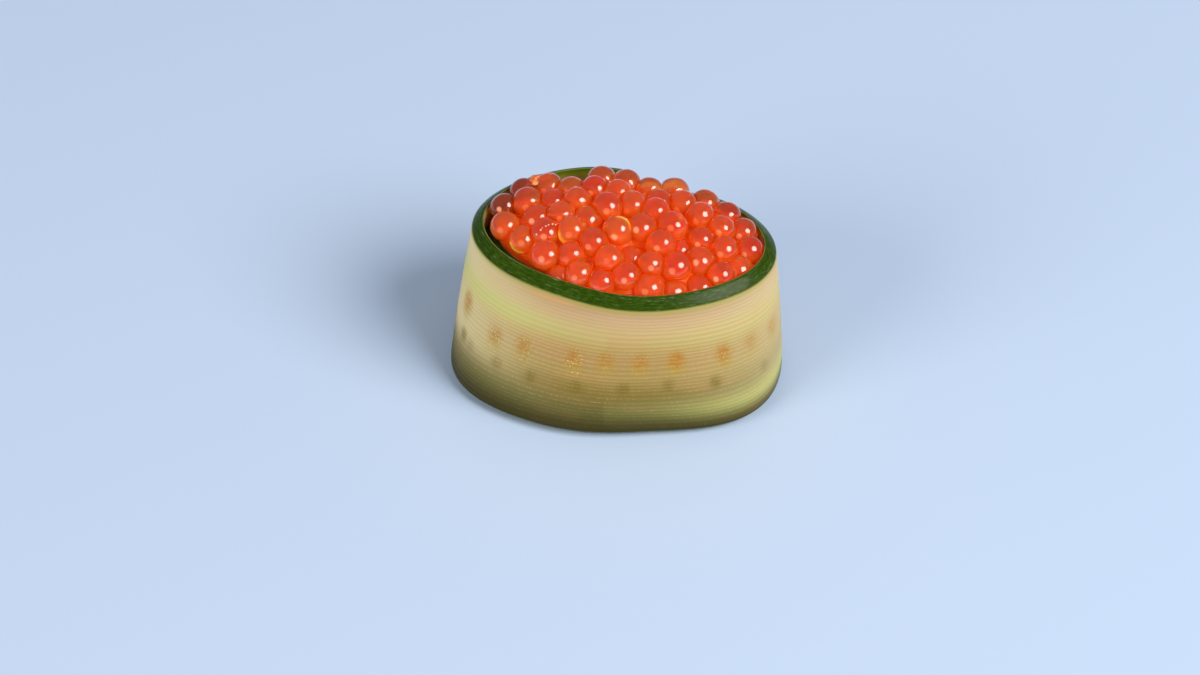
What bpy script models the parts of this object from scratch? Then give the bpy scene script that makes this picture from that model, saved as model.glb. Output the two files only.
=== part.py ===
"""Salmon roe nigiri wrapped in a cucumber ribbon, modelled at its real size.

A pad of pressed rice stands inside a thin lengthwise slice of cucumber, which is wound once
round it and then a third of a turn further inside itself. The slice keeps its skin along both
long edges. Salmon roe fills the well above the rice and is heaped over the rim.

Lengths are in metres. +Z is up, +X runs along the long axis, and the part stands on z = 0 with
the middle of its outline over the origin. Angles are measured from +X, anticlockwise from above.
"""

import math

import bmesh
import bpy
import numpy as np
from mathutils import Matrix, Vector
from mathutils.kdtree import KDTree

MM = 0.001

# Clearance between pieces that touch.
GAP = 0.3 * MM

# Cucumber ribbon: its section, then the oval that its outer face follows.
WRAP_HEIGHT = 33.4 * MM
RIBBON_THICKNESS = 2.25 * MM
SKIN_HEIGHT = 1.9 * MM
SKIN_ROUNDING = 1.35
FOOT_SHARE = 0.8

BASE_HALF_LENGTH = 29.6 * MM
RIM_HALF_LENGTH = 27.8 * MM
LENGTH_TAPER = 1.4
BASE_HALF_WIDTH = 20.3 * MM
RIM_HALF_WIDTH = 18.0 * MM
BASE_POWER = 2.68
RIM_POWER = 2.0
POWER_FADE = 1.5
RIM_LEAN = 2.1 * MM
RIM_TWIST = math.radians(-3.6)

# Hand-rolled unevenness of the oval: (waves round it, depth, angle of the first crest).
BASE_WAVES = ((3, 0.051, math.radians(-3.4)), (4, 0.038, math.radians(5.0)))
RIM_WAVES = ((3, 0.012, math.radians(8.1)), (4, 0.023, math.radians(21.2)))

# Where the ribbon starts outside, and how it dives under itself and ends inside.
OUTER_END = math.radians(98)
STEPS_PER_TURN = 72
INNER_STEPS = 27
DIVE_STEPS = 9
INNER_DROP = 2.6 * MM
DROP_STEPS = 13
INNER_END_RAMP = math.radians(13)

# Rice pad.
RICE_TOP = 24.0 * MM
RICE_CROWN = 1.5 * MM
RICE_UNDERSIDE = 0.7 * MM
GRAIN_LENGTH = 6.0 * MM
GRAIN_WIDTH = 3.0 * MM
GRAIN_DEPTH = 2.6 * MM
GRAIN_SPACING = 4.7 * MM
GRAIN_CENTRE_HEIGHT = 0.85 * MM
GRAIN_EDGE_MARGIN = 1.9 * MM
GRAIN_TURN_MARGIN = 3.6 * MM
GRAIN_SEED = 5

# Roe.
EGG_DIAMETER = 4.7 * MM
EGG_SIZE_SPREAD = 0.05
EGG_LAYERS = (60, 50, 40)
EGG_LAYER_DROP = 3.3 * MM
EGG_LAYER_PULL = 0.02
EGG_SEED = 11
EGG_STEPS = 600
EGG_WALL_GAP = 0.4 * MM
EGG_LAST_PASSES = 40
EGG_SQUEEZE = 0.5 * MM
EGG_PUSH = 0.35
EGG_DROP_EVERY = 8
# An egg that overlaps its nearest by less than LOOSE is moved until they overlap by STUCK.
EGG_LOOSE = 0.06 * MM
EGG_STUCK = 0.4 * MM
HEAP_EDGE = 31.2 * MM
HEAP_RISE = 5.2 * MM
HEAP_POWER = 0.8
HEAP_ROUGHNESS = 0.5 * MM
ROE_CORE_SINK = 0.68
ROE_CORE_INSET = 0.6
ROE_CORE_COARSENESS = 3
ROE_SHOWN_DEPTH = 1.4

# Eggs that can be told one by one, on the skyline and on top of the heap: centre in mm, size.
LANDMARK_EGGS = (
    (-5.1, 10.9, 34.8, 1.00), (-0.1, 10.4, 34.8, 1.00), (3.6, 9.0, 34.0, 0.97),
    (8.1, 10.5, 34.9, 1.08), (14.1, 9.7, 33.8, 1.00), (18.3, 7.6, 33.2, 1.02),
    (22.6, 4.7, 32.6, 0.98), (24.8, 0.3, 31.9, 0.98), (-22.2, 2.0, 33.4, 0.94),
    (-19.0, 6.1, 33.2, 0.96), (-14.5, 7.4, 33.4, 1.02), (-9.9, 6.4, 34.5, 1.00),
    (-5.8, 6.6, 35.7, 0.98), (-16.4, 3.0, 33.8, 1.08), (-8.3, 2.1, 36.0, 1.00),
    (-2.5, 1.9, 36.5, 1.05), (2.0, 2.8, 36.1, 0.98), (6.0, 2.5, 36.6, 1.00),
    (13.9, 4.4, 34.9, 1.02), (-7.2, -4.3, 35.9, 1.05), (-14.3, -1.2, 34.6, 1.00),
    (-21.0, -3.5, 31.6, 1.02), (-15.8, -5.7, 33.1, 1.00), (-10.8, -8.4, 33.6, 1.05),
    (0.5, -3.7, 36.4, 1.05), (9.6, -0.4, 36.4, 1.05),
)
LANDMARK_HOLD = 0.15
# Place against the back wall, high up, where no egg lies.
BARE_PLACE = (-10.5 * MM, 11.3 * MM)
BARE_REACH = 2.0 * MM
BARE_ABOVE = 31.5 * MM

RING_STEPS = STEPS_PER_TURN
FLAT_ANGLE = math.radians(0.2)
SAMPLE_SPACING = 0.8 * MM


def smoothstep(value):
    """Ease from 0 to 1, flat at both ends, for values running from 0 to 1."""
    value = np.clip(value, 0.0, 1.0)
    return value * value * (3.0 - 2.0 * value)


def wave_factor(angle, waves):
    """One plus a sum of cosines round the oval."""
    total = np.ones_like(angle)
    for count, depth, crest in waves:
        total += depth * np.cos(count * (angle - crest))
    return total


def outer_plan(angle, level):
    """Plan points of the ribbon's outer face, before centring.

    level runs from 0 at the face's lower edge to 1 at its upper edge. The oval is a
    superellipse that gets smaller and rounder towards the rim, with a few shallow waves.
    """
    angle, level = np.broadcast_arrays(np.asarray(angle, float), np.asarray(level, float))
    level = np.clip(level, 0.0, 1.0)
    half_length = BASE_HALF_LENGTH + (RIM_HALF_LENGTH - BASE_HALF_LENGTH) * level ** LENGTH_TAPER
    half_width = BASE_HALF_WIDTH + (RIM_HALF_WIDTH - BASE_HALF_WIDTH) * level
    power = RIM_POWER + (BASE_POWER - RIM_POWER) * (1.0 - level) ** POWER_FADE
    across = np.abs(np.cos(angle) / half_length) ** power
    along = np.abs(np.sin(angle) / half_width) ** power
    radius = (across + along) ** (-1.0 / power)
    waves = wave_factor(angle, BASE_WAVES) * (1.0 - level) + wave_factor(angle, RIM_WAVES) * level
    turned = angle + RIM_TWIST * level
    x = radius * waves * np.cos(turned) + RIM_LEAN * level
    y = radius * waves * np.sin(turned)
    return x, y


def plan_centre():
    """Middle of the outline's box, which is put over the origin."""
    angle = OUTER_END + np.arange(RING_STEPS) * 2.0 * math.pi / RING_STEPS
    levels = np.linspace(0.0, 1.0, 6)
    x, y = outer_plan(angle[:, None], levels[None, :])
    return 0.5 * (x.min() + x.max()), 0.5 * (y.min() + y.max())


CENTRE_X, CENTRE_Y = plan_centre()


def level_of(height):
    """Share of the way up the outer face for a height."""
    return (height - SKIN_HEIGHT) / (WRAP_HEIGHT - 2.0 * SKIN_HEIGHT)


def wall_point(angle, height, depth):
    """Points at a depth inwards from the outer face, square to it, at a height."""
    level = level_of(height)
    x, y = outer_plan(angle, level)
    small = 0.01
    ahead_x, ahead_y = outer_plan(angle + small, level)
    behind_x, behind_y = outer_plan(angle - small, level)
    along_x, along_y = ahead_x - behind_x, ahead_y - behind_y
    length = np.hypot(along_x, along_y)
    x = x - along_y / length * depth - CENTRE_X
    y = y + along_x / length * depth - CENTRE_Y
    return np.stack([x, y, np.broadcast_to(height, x.shape)], axis=-1)


def ribbon_depth(step):
    """How far the ribbon's outer face lies inside the oval, step by step along the ribbon."""
    return (RIBBON_THICKNESS + GAP) * smoothstep((step - STEPS_PER_TURN + DIVE_STEPS) / DIVE_STEPS)


def ribbon_top(step):
    """Height of the ribbon's upper edge: its inner end is narrower than the rest."""
    return WRAP_HEIGHT - INNER_DROP * smoothstep((step - STEPS_PER_TURN + DROP_STEPS) / DROP_STEPS)


def ribbon_section(top):
    """Closed section of the ribbon as (depth, height), from the foot of the outer face round.

    Both long edges are skin: a slightly rounded slope from the narrower outer face to the
    wider inner face. The lower one ends in a narrow flat foot.
    """
    face = [(0.0, SKIN_HEIGHT + (top - 2.0 * SKIN_HEIGHT) * share) for share in np.linspace(0, 1, 6)]
    slope = [(RIBBON_THICKNESS * share, top - SKIN_HEIGHT * (1.0 - share) ** SKIN_ROUNDING)
             for share in (0.35, 0.7, 1.0)]
    inner = [(RIBBON_THICKNESS, top * share) for share in (0.75, 0.5, 0.25, 0.0)]
    foot = [(RIBBON_THICKNESS * share, SKIN_HEIGHT * (1.0 - share / FOOT_SHARE) ** SKIN_ROUNDING)
            for share in (FOOT_SHARE, 0.35)]
    return np.array(face + slope + inner + foot)


def ribbon_angle(step):
    """Angle of a step along the ribbon."""
    return OUTER_END + step * 2.0 * math.pi / STEPS_PER_TURN


def well_depth(angle):
    """Depth of the well's wall inside the oval: one layer of ribbon, or two where it overlaps."""
    turn = 2.0 * math.pi
    past_start = np.mod(angle - OUTER_END, turn)
    dive = DIVE_STEPS * turn / STEPS_PER_TURN
    inner_turn = INNER_STEPS * turn / STEPS_PER_TURN
    rising = smoothstep((past_start - turn + dive) / dive)
    falling = 1.0 - smoothstep((past_start - inner_turn) / INNER_END_RAMP)
    return RIBBON_THICKNESS + (RIBBON_THICKNESS + GAP) * np.maximum(rising, falling)


def well_ring(height, margin=0.0, coarseness=1):
    """Ring of points on the well's wall, a margin inside it."""
    angle = ribbon_angle(np.arange(0, RING_STEPS, coarseness))
    return wall_point(angle, np.full(len(angle), height), well_depth(angle) + margin)


def rim_share(x, y):
    """Distance from the middle of the rim's oval, over the distance to its wall."""
    angle = ribbon_angle(np.arange(RING_STEPS))
    ring = wall_point(angle, np.full(RING_STEPS, WRAP_HEIGHT), np.full(RING_STEPS, RIBBON_THICKNESS))
    middle = ring[:, :2].mean(axis=0)
    ring_angle = np.unwrap(np.arctan2(ring[:, 1] - middle[1], ring[:, 0] - middle[0]))
    ring_radius = np.hypot(ring[:, 0] - middle[0], ring[:, 1] - middle[1])
    towards = np.arctan2(y - middle[1], x - middle[0])
    reach = np.interp(towards, ring_angle, ring_radius, period=2.0 * math.pi)
    return np.hypot(x - middle[0], y - middle[1]) / reach


def heap_height(x, y):
    """Height of the uppermost egg centres: a low dome inside the rim's oval."""
    share = np.minimum(rim_share(x, y), 1.0)
    return HEAP_EDGE + HEAP_RISE * (1.0 - share * share) ** HEAP_POWER


def rice_surface(share):
    """Height of the rice's crown at a share of the way from its middle to its edge."""
    return RICE_TOP - RICE_CROWN * share * share


def add_object(name, mesh, material, collection):
    """Link a mesh as a named object with its material."""
    mesh.materials.clear()
    mesh.materials.append(material)
    piece = bpy.data.objects.new(name, mesh)
    collection.objects.link(piece)
    return piece


def make_material(name, colour, roughness):
    """Principled material from a linear colour."""
    material = bpy.data.materials.new(name)
    material.use_nodes = True
    shader = material.node_tree.nodes["Principled BSDF"]
    shader.inputs["Base Color"].default_value = (*colour, 1.0)
    shader.inputs["Roughness"].default_value = roughness
    shader.inputs["Metallic"].default_value = 0.0
    return material


def loft(sections, close_round):
    """Closed mesh through sections of equal point counts.

    With close_round the sections are stacked rings, and otherwise they are the sections of a
    bar. Either way the first and the last are capped.
    """
    shape = bmesh.new()
    rows = [[shape.verts.new(point) for point in section] for section in sections]
    count = len(rows[0])
    for lower, upper in zip(rows, rows[1:]):
        for index in range(count):
            after = (index + 1) % count
            shape.faces.new((lower[index], lower[after], upper[after], upper[index]))
    for row in (rows[0], rows[-1]):
        if close_round:
            middle = shape.verts.new(sum((vert.co for vert in row), Vector()) / count)
            for index in range(count):
                shape.faces.new((row[index], row[(index + 1) % count], middle))
        else:
            shape.faces.new(row)
    bmesh.ops.recalc_face_normals(shape, faces=shape.faces)
    bmesh.ops.triangulate(shape, faces=[face for face in shape.faces if len(face.verts) > 4])
    mesh = bpy.data.meshes.new("loft")
    shape.to_mesh(mesh)
    shape.free()
    return mesh


def build_wrap(collection):
    """The cucumber ribbon: one bar swept round the oval and on inside itself."""
    sections = []
    for step in range(STEPS_PER_TURN + INNER_STEPS + 1):
        section = ribbon_section(ribbon_top(step))
        depth = ribbon_depth(step) + section[:, 0]
        sections.append(wall_point(np.full(len(section), ribbon_angle(step)), section[:, 1], depth))
    mesh = loft(sections, close_round=False)
    mesh.shade_smooth()
    mesh.set_sharp_from_angle(angle=math.radians(35))
    material = make_material("cucumber_flesh", (0.56, 0.50, 0.23), 0.45)
    return add_object("cucumber_wrap", mesh, material, collection)


def shrink_ring(ring, share, height):
    """Ring drawn in towards its middle and set at a height."""
    middle = ring.mean(axis=0)
    smaller = middle + (ring - middle) * share
    smaller[:, 2] = height
    return smaller


def rice_core_rings():
    """Rings of the rice pad, from its underside to its crown."""
    rings = [well_ring(height, GAP) for height in (RICE_UNDERSIDE, 0.35 * RICE_TOP, 0.7 * RICE_TOP)]
    edge = well_ring(rice_surface(1.0), GAP)
    rings.append(edge)
    rings += [shrink_ring(edge, share, rice_surface(share)) for share in (0.7, 0.35)]
    return rings


def grain_places():
    """Places of the grains on the underside: a jittered hexagonal grid, the first at the origin.

    A grain near the edge of the pad lies along it.
    """
    draw = np.random.default_rng(GRAIN_SEED)
    ring = well_ring(0.0, GAP)
    reach = np.hypot(ring[:, 0], ring[:, 1])
    ring_angle = np.unwrap(np.arctan2(ring[:, 1], ring[:, 0]))
    along = np.roll(ring, -1, axis=0) - np.roll(ring, 1, axis=0)
    row_spacing = GRAIN_SPACING * math.sqrt(3.0) / 2.0
    places = []
    for row in range(-6, 7):
        for column in range(-8, 9):
            shift = draw.uniform(-0.2, 0.2, 2) * GRAIN_SPACING * min(1.0, abs(row) + abs(column))
            heading = draw.uniform(0.0, math.pi)
            size = draw.uniform(0.9, 1.08)
            x = (column + 0.5 * (row % 2)) * GRAIN_SPACING + shift[0]
            y = row * row_spacing + shift[1]
            limit = np.interp(math.atan2(y, x), ring_angle, reach, period=2.0 * math.pi)
            room = limit - math.hypot(x, y)
            if room < GRAIN_TURN_MARGIN:
                nearest = np.argmin(np.hypot(ring[:, 0] - x, ring[:, 1] - y))
                heading = math.atan2(along[nearest, 1], along[nearest, 0])
            if room > GRAIN_EDGE_MARGIN:
                places.append((x, y, heading, size))
    return places


def grain_mesh():
    """Short plump grain with few sides, one long."""
    shape = bmesh.new()
    bmesh.ops.create_uvsphere(shape, u_segments=6, v_segments=4, radius=0.5)
    bmesh.ops.rotate(shape, verts=shape.verts, matrix=Matrix.Rotation(math.pi / 2.0, 3, "Y"))
    mesh = bpy.data.meshes.new("grain")
    shape.to_mesh(mesh)
    shape.free()
    return mesh


def cut_below_floor(piece, cutters):
    """Slice a piece flat at z = 0."""
    reach = 0.1
    bpy.ops.mesh.primitive_cube_add(size=reach, location=(0.0, 0.0, -0.5 * reach))
    floor = bpy.context.active_object
    floor.name = "floor_cutter"
    for owner in list(floor.users_collection):
        owner.objects.unlink(floor)
    cutters.objects.link(floor)
    floor.hide_render = True
    floor.display_type = "WIRE"
    cut = piece.modifiers.new("flat_underside", "BOOLEAN")
    cut.operation = "DIFFERENCE"
    cut.solver = "EXACT"
    cut.object = floor
    apply_modifiers(piece)
    bpy.data.objects.remove(floor, do_unlink=True)


def apply_modifiers(piece):
    """Replace a piece's mesh with its evaluated one."""
    bpy.context.view_layer.update()
    evaluated = piece.evaluated_get(bpy.context.evaluated_depsgraph_get())
    mesh = bpy.data.meshes.new_from_object(evaluated)
    piece.modifiers.clear()
    piece.data = mesh


def fuse(piece, loose, collection_name):
    """Join loose objects to a piece by one Boolean union, then remove them."""
    group = bpy.data.collections.new(collection_name)
    bpy.context.scene.collection.children.link(group)
    for item in loose:
        group.objects.link(item)
    union = piece.modifiers.new("fused", "BOOLEAN")
    union.operation = "UNION"
    union.solver = "EXACT"
    union.operand_type = "COLLECTION"
    union.collection = group
    apply_modifiers(piece)
    for item in loose:
        bpy.data.objects.remove(item, do_unlink=True)
    bpy.data.collections.remove(group)


def keep_outer_shell(piece):
    """Drop sealed hollows and loose scraps: only the connected shell with most faces stays."""
    shape = bmesh.new()
    shape.from_mesh(piece.data)
    bmesh.ops.remove_doubles(shape, verts=shape.verts, dist=1e-6)
    bmesh.ops.dissolve_degenerate(shape, edges=shape.edges, dist=1e-6)
    bmesh.ops.dissolve_limit(shape, angle_limit=FLAT_ANGLE, verts=shape.verts, edges=shape.edges)
    unseen = set(shape.verts)
    shells = []
    while unseen:
        start = unseen.pop()
        shell, front = {start}, [start]
        while front:
            vert = front.pop()
            for edge in vert.link_edges:
                other = edge.other_vert(vert)
                if other in unseen:
                    unseen.discard(other)
                    shell.add(other)
                    front.append(other)
        shells.append(shell)
    largest = max(shells, key=len)
    spare = [vert for vert in shape.verts if vert not in largest]
    bmesh.ops.delete(shape, geom=spare, context="VERTS")
    bmesh.ops.triangulate(shape, faces=[face for face in shape.faces if len(face.verts) > 4])
    shape.to_mesh(piece.data)
    shape.free()


def build_rice(collection, cutters):
    """The rice pad, with the pressed grains that show on its flat underside."""
    material = make_material("cooked_rice", (0.78, 0.76, 0.68), 0.4)
    rice = add_object("rice", loft(rice_core_rings(), close_round=True), material, collection)
    shared = grain_mesh()
    grains = []
    for x, y, heading, size in grain_places():
        grain = bpy.data.objects.new("grain", shared)
        grain.location = (x, y, GRAIN_CENTRE_HEIGHT)
        grain.rotation_euler = (0.0, 0.0, heading)
        grain.scale = (GRAIN_LENGTH * size, GRAIN_WIDTH * size, GRAIN_DEPTH)
        grains.append(grain)
    fuse(rice, grains, "underside_grains")
    cut_below_floor(rice, cutters)
    keep_outer_shell(rice)
    rice.data.shade_smooth()
    rice.data.set_sharp_from_angle(angle=math.radians(40))
    return rice


def ribbon_samples():
    """Points over the faces of the ribbon that eggs can touch: inner face and upper skin."""
    points = []
    step = np.arange(0.0, STEPS_PER_TURN + INNER_STEPS + 0.01, 0.5)
    angle = ribbon_angle(step)
    depth = ribbon_depth(step)
    top = ribbon_top(step)
    for below in np.arange(0.0, WRAP_HEIGHT - RICE_TOP + RICE_CROWN, SAMPLE_SPACING):
        points.append(wall_point(angle, top - below, depth + RIBBON_THICKNESS))
    for share in (0.0, 0.35, 0.7):
        height = top - SKIN_HEIGHT * (1.0 - share) ** SKIN_ROUNDING
        points.append(wall_point(angle, height, depth + RIBBON_THICKNESS * share))
    for share in np.linspace(0.0, 1.0, 4):
        end = len(step) - 1
        heights = np.linspace(RICE_TOP - RICE_CROWN, top[end], 14)
        face_depth = depth[end] + RIBBON_THICKNESS * share
        points.append(wall_point(np.full(14, angle[end]), heights, face_depth))
    return np.concatenate(points)


def keep_off_ribbon(place, radius, wall, passes):
    """Move eggs straight away from the nearest point of the ribbon until they are clear of it."""
    for _ in range(passes):
        for index, centre in enumerate(place):
            nearest, _, _ = wall.find(centre)
            away = centre - np.array(nearest)
            length = math.sqrt(float((away * away).sum()))
            short = radius[index] + EGG_WALL_GAP - length
            if short > 0.0:
                place[index] = centre + away / length * short


def worst_squeeze(place, radius):
    """Largest overlap between two eggs, and which egg of the pair came later."""
    apart = place[:, None, :] - place[None, :, :]
    overlap = radius[:, None] + radius[None, :] - np.sqrt((apart * apart).sum(axis=2))
    np.fill_diagonal(overlap, 0.0)
    first, second = np.unravel_index(np.argmax(overlap), overlap.shape)
    return overlap.max(), max(first, second)


def scattered_eggs():
    """Eggs before they settle: landmarks at their places, the rest at random in rough layers.

    Each egg has a centre, a home, a radius, the height of its own layer under the dome, and a
    hold, which is how hard a landmark is drawn back to its home.
    """
    draw = np.random.default_rng(EGG_SEED)
    landmarks = np.array(LANDMARK_EGGS)
    named = len(landmarks)
    layer = np.repeat(np.arange(len(EGG_LAYERS)), EGG_LAYERS)
    size = np.concatenate([landmarks[:, 3], draw.normal(1.0, EGG_SIZE_SPREAD, len(layer) - named)])
    ring = well_ring(WRAP_HEIGHT)
    middle = ring.mean(axis=0)
    spread = np.sqrt(draw.uniform(0.0, 0.8, len(layer) - named))
    start = middle + (ring[draw.integers(0, len(ring), len(spread))] - middle) * spread[:, None]
    start[:, 2] = heap_height(start[:, 0], start[:, 1]) - layer[named:] * EGG_LAYER_DROP
    place = np.concatenate([landmarks[:, :3] * MM, start])
    roughness = draw.uniform(-1.0, 1.0, len(layer)) * HEAP_ROUGHNESS
    roughness[:named] = HEAP_ROUGHNESS
    return {
        "place": place,
        "home": place.copy(),
        "radius": 0.5 * EGG_DIAMETER * np.clip(size, 0.88, 1.12),
        "roughness": roughness,
        "drop": layer * EGG_LAYER_DROP,
        "hold": np.where(np.arange(len(layer)) < named, LANDMARK_HOLD, 0.0),
    }


def stuck_together(place, radius):
    """Move every loose egg straight to its nearest neighbour until it overlaps it a little."""
    apart = place[None, :, :] - place[:, None, :]
    distance = np.sqrt((apart * apart).sum(axis=2))
    np.fill_diagonal(distance, 1.0)
    overlap = radius[:, None] + radius[None, :] - distance
    nearest = overlap.argmax(axis=1)
    row = np.arange(len(place))
    most = overlap[row, nearest]
    short = np.where(most < EGG_LOOSE, EGG_STUCK - most, 0.0)
    towards = apart[row, nearest] / distance[row, nearest][:, None]
    return np.round(place + towards * short[:, None], 8)


def pack_eggs():
    """Centres and radii of the eggs, settled in the well by pushing overlaps apart.

    Each step moves overlapping eggs apart, draws loose eggs towards their layer and landmark
    eggs towards their homes, and keeps them all under the dome, off the ribbon and off the
    rice. Now and then the egg that is squeezed most is left out, and at the end any egg that was
    pushed through the wall or lies in the bare place. Places are rounded each step, so that the
    result doesn't hang on the last bits of a sum. Loose eggs are stuck to a neighbour at last.
    """
    samples = ribbon_samples()
    wall = KDTree(len(samples))
    for index, point in enumerate(samples):
        wall.insert(point, index)
    wall.balance()

    eggs = scattered_eggs()
    for step in range(EGG_STEPS):
        place, radius, hold = eggs["place"], eggs["radius"], eggs["hold"]
        apart = place[:, None, :] - place[None, :, :]
        distance = np.sqrt((apart * apart).sum(axis=2))
        np.fill_diagonal(distance, 1.0)
        overlap = np.clip(radius[:, None] + radius[None, :] - distance, 0.0, None)
        push = (apart / distance[:, :, None] * overlap[:, :, None]).sum(axis=1) * EGG_PUSH
        place = place + push + (eggs["home"] - place) * hold[:, None]
        lid = heap_height(place[:, 0], place[:, 1]) + eggs["roughness"]
        pull = (lid - eggs["drop"] - place[:, 2]) * EGG_LAYER_PULL
        place[:, 2] += np.where(hold > 0.0, 0.0, pull)
        place[:, 2] = np.maximum(np.minimum(place[:, 2], lid), RICE_TOP + GAP + radius)
        keep_off_ribbon(place, radius, wall, 1)
        eggs["place"] = np.round(place, 8)
        if step > EGG_STEPS // 3 and step % EGG_DROP_EVERY == 0:
            squeeze, worst = worst_squeeze(eggs["place"], radius)
            if squeeze > EGG_SQUEEZE:
                eggs = {name: np.delete(values, worst, axis=0) for name, values in eggs.items()}
    keep_off_ribbon(eggs["place"], eggs["radius"], wall, EGG_LAST_PASSES)
    x, y, z = eggs["place"].T
    off_bare = (np.hypot(x - BARE_PLACE[0], y - BARE_PLACE[1]) > BARE_REACH) | (z < BARE_ABOVE)
    kept = (rim_share(x, y) < 1.0) & off_bare
    place, radius = eggs["place"][kept], eggs["radius"][kept]
    return stuck_together(place, radius), radius


def roe_core_rings():
    """Rings of the plain body under the eggs, from the rice up to a low dome."""
    inset = GAP + ROE_CORE_INSET * EGG_DIAMETER / 2.0
    sink = ROE_CORE_SINK * EGG_DIAMETER / 2.0
    foot = well_ring(rice_surface(1.0) + GAP, inset, ROE_CORE_COARSENESS)
    rings = [shrink_ring(foot, share, rice_surface(share) + GAP) for share in (0.35, 0.7)]
    rings.append(foot)
    edge = well_ring(HEAP_EDGE - sink, inset, ROE_CORE_COARSENESS)
    rings.append(edge)
    for share in (0.85, 0.6, 0.3):
        ring = shrink_ring(edge, share, 0.0)
        ring[:, 2] = heap_height(ring[:, 0], ring[:, 1]) - sink
        rings.append(ring)
    return rings


def build_roe(collection):
    """The roe: a plain body with the eggs that show fused on."""
    material = make_material("salmon_roe", (0.80, 0.055, 0.008), 0.12)
    roe = add_object("roe", loft(roe_core_rings(), close_round=True), material, collection)
    shape = bmesh.new()
    bmesh.ops.create_icosphere(shape, subdivisions=2, radius=1.0)
    shared = bpy.data.meshes.new("egg")
    shape.to_mesh(shared)
    shape.free()
    places, radii = pack_eggs()
    shown_above = heap_height(places[:, 0], places[:, 1]) - ROE_SHOWN_DEPTH * EGG_DIAMETER / 2.0
    shows = places[:, 2] > shown_above
    eggs = []
    for place, radius in zip(places[shows], radii[shows]):
        egg = bpy.data.objects.new("egg", shared)
        egg.location = place
        egg.scale = (radius, radius, radius)
        eggs.append(egg)
    fuse(roe, eggs, "top_eggs")
    keep_outer_shell(roe)
    roe.data.shade_smooth()
    roe.data.set_sharp_from_angle(angle=math.radians(50))
    return roe


def main():
    """Clear the scene and build the three pieces."""
    for item in list(bpy.data.objects):
        bpy.data.objects.remove(item, do_unlink=True)
    parts = bpy.data.collections.new("salmon_roe_nigiri")
    cutters = bpy.data.collections.new("cutters")
    bpy.context.scene.collection.children.link(parts)
    bpy.context.scene.collection.children.link(cutters)
    build_wrap(parts)
    build_rice(parts, cutters)
    build_roe(parts)


main()
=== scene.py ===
"""Looks of the salmon roe nigiri in its cucumber ribbon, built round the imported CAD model.

The CAD gives the size and the place of three pieces, and finer ones stand for them here: a
ribbon of cut cucumber with real knife ribs, a pad of rice with grains pressed flat on its
underside, and a heap of eggs that press soft facets into one another, with juice between them.
A chain of air bubbles and a scrap of membrane lie on the eggs.

Lengths are in metres unless a name ends in _mm, and angles are in radians from +X,
anticlockwise from above. +Z is up, and the sushi stands on z = 0.
"""

import logging
import math
from dataclasses import dataclass
from enum import Enum
from typing import Any

import bpy
import numpy as np
from mathutils import Matrix, Vector
from mathutils.kdtree import KDTree


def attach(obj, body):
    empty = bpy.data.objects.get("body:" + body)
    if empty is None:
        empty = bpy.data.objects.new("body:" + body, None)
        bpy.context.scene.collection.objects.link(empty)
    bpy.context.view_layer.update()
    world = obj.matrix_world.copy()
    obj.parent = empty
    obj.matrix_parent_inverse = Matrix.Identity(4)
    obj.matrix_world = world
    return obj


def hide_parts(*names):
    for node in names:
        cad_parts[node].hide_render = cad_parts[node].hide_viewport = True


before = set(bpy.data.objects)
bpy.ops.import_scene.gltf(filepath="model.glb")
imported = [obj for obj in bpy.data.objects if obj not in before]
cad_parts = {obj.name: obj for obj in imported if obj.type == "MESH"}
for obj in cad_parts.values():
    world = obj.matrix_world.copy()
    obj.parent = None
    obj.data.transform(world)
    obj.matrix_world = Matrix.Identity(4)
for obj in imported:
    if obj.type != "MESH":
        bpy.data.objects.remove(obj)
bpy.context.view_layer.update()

log = logging.getLogger("nigiri")

Array = np.ndarray
Faces = list[list[int]]

MM = 0.001
TURN = 2.0 * math.pi
BODY = "root"


class Slot(Enum):
    """Material slots of the record."""

    CUCUMBER = "cucumber"
    RICE = "cooked_rice"
    ROE = "salmon_roe"


# ---------------------------------------------------------------------------------------------
# Small helpers
# ---------------------------------------------------------------------------------------------


def smoothstep(value: Array) -> Array:
    """Ease from 0 to 1, flat at both ends: 3t^2 - 2t^3 of the value held between 0 and 1."""
    value = np.clip(value, 0.0, 1.0)
    return value * value * (3.0 - 2.0 * value)


def travelled(points: Array) -> Array:
    """Distance along a line of plane points, from its start to each of them."""
    return np.concatenate([[0.0], np.cumsum(np.hypot(*np.diff(points, axis=0).T))])


def srgb(code: str) -> tuple[float, float, float, float]:
    """Turn an sRGB hex colour to linear.

    Args:
        code: colour as "#rrggbb".

    Returns:
        Linear red, green, blue and an alpha of one.
    """
    channels = [int(code[start:start + 2], 16) / 255.0 for start in (1, 3, 5)]
    linear = [c / 12.92 if c <= 0.04045 else ((c + 0.055) / 1.055) ** 2.4 for c in channels]
    return (*linear, 1.0)


def socket_of(sockets: Any, key: str | int | None) -> bpy.types.NodeSocket:
    """Find a socket among the inputs or the outputs of a node.

    Args:
        sockets: the inputs or the outputs.
        key: number of the socket, or name of one that is in use. None stands for any name.

    Returns:
        The socket, the first of them where a name fits several.
    """
    if isinstance(key, int):
        return sockets[key]
    return next(socket for socket in sockets if socket.enabled and key in (None, socket.name))


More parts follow.
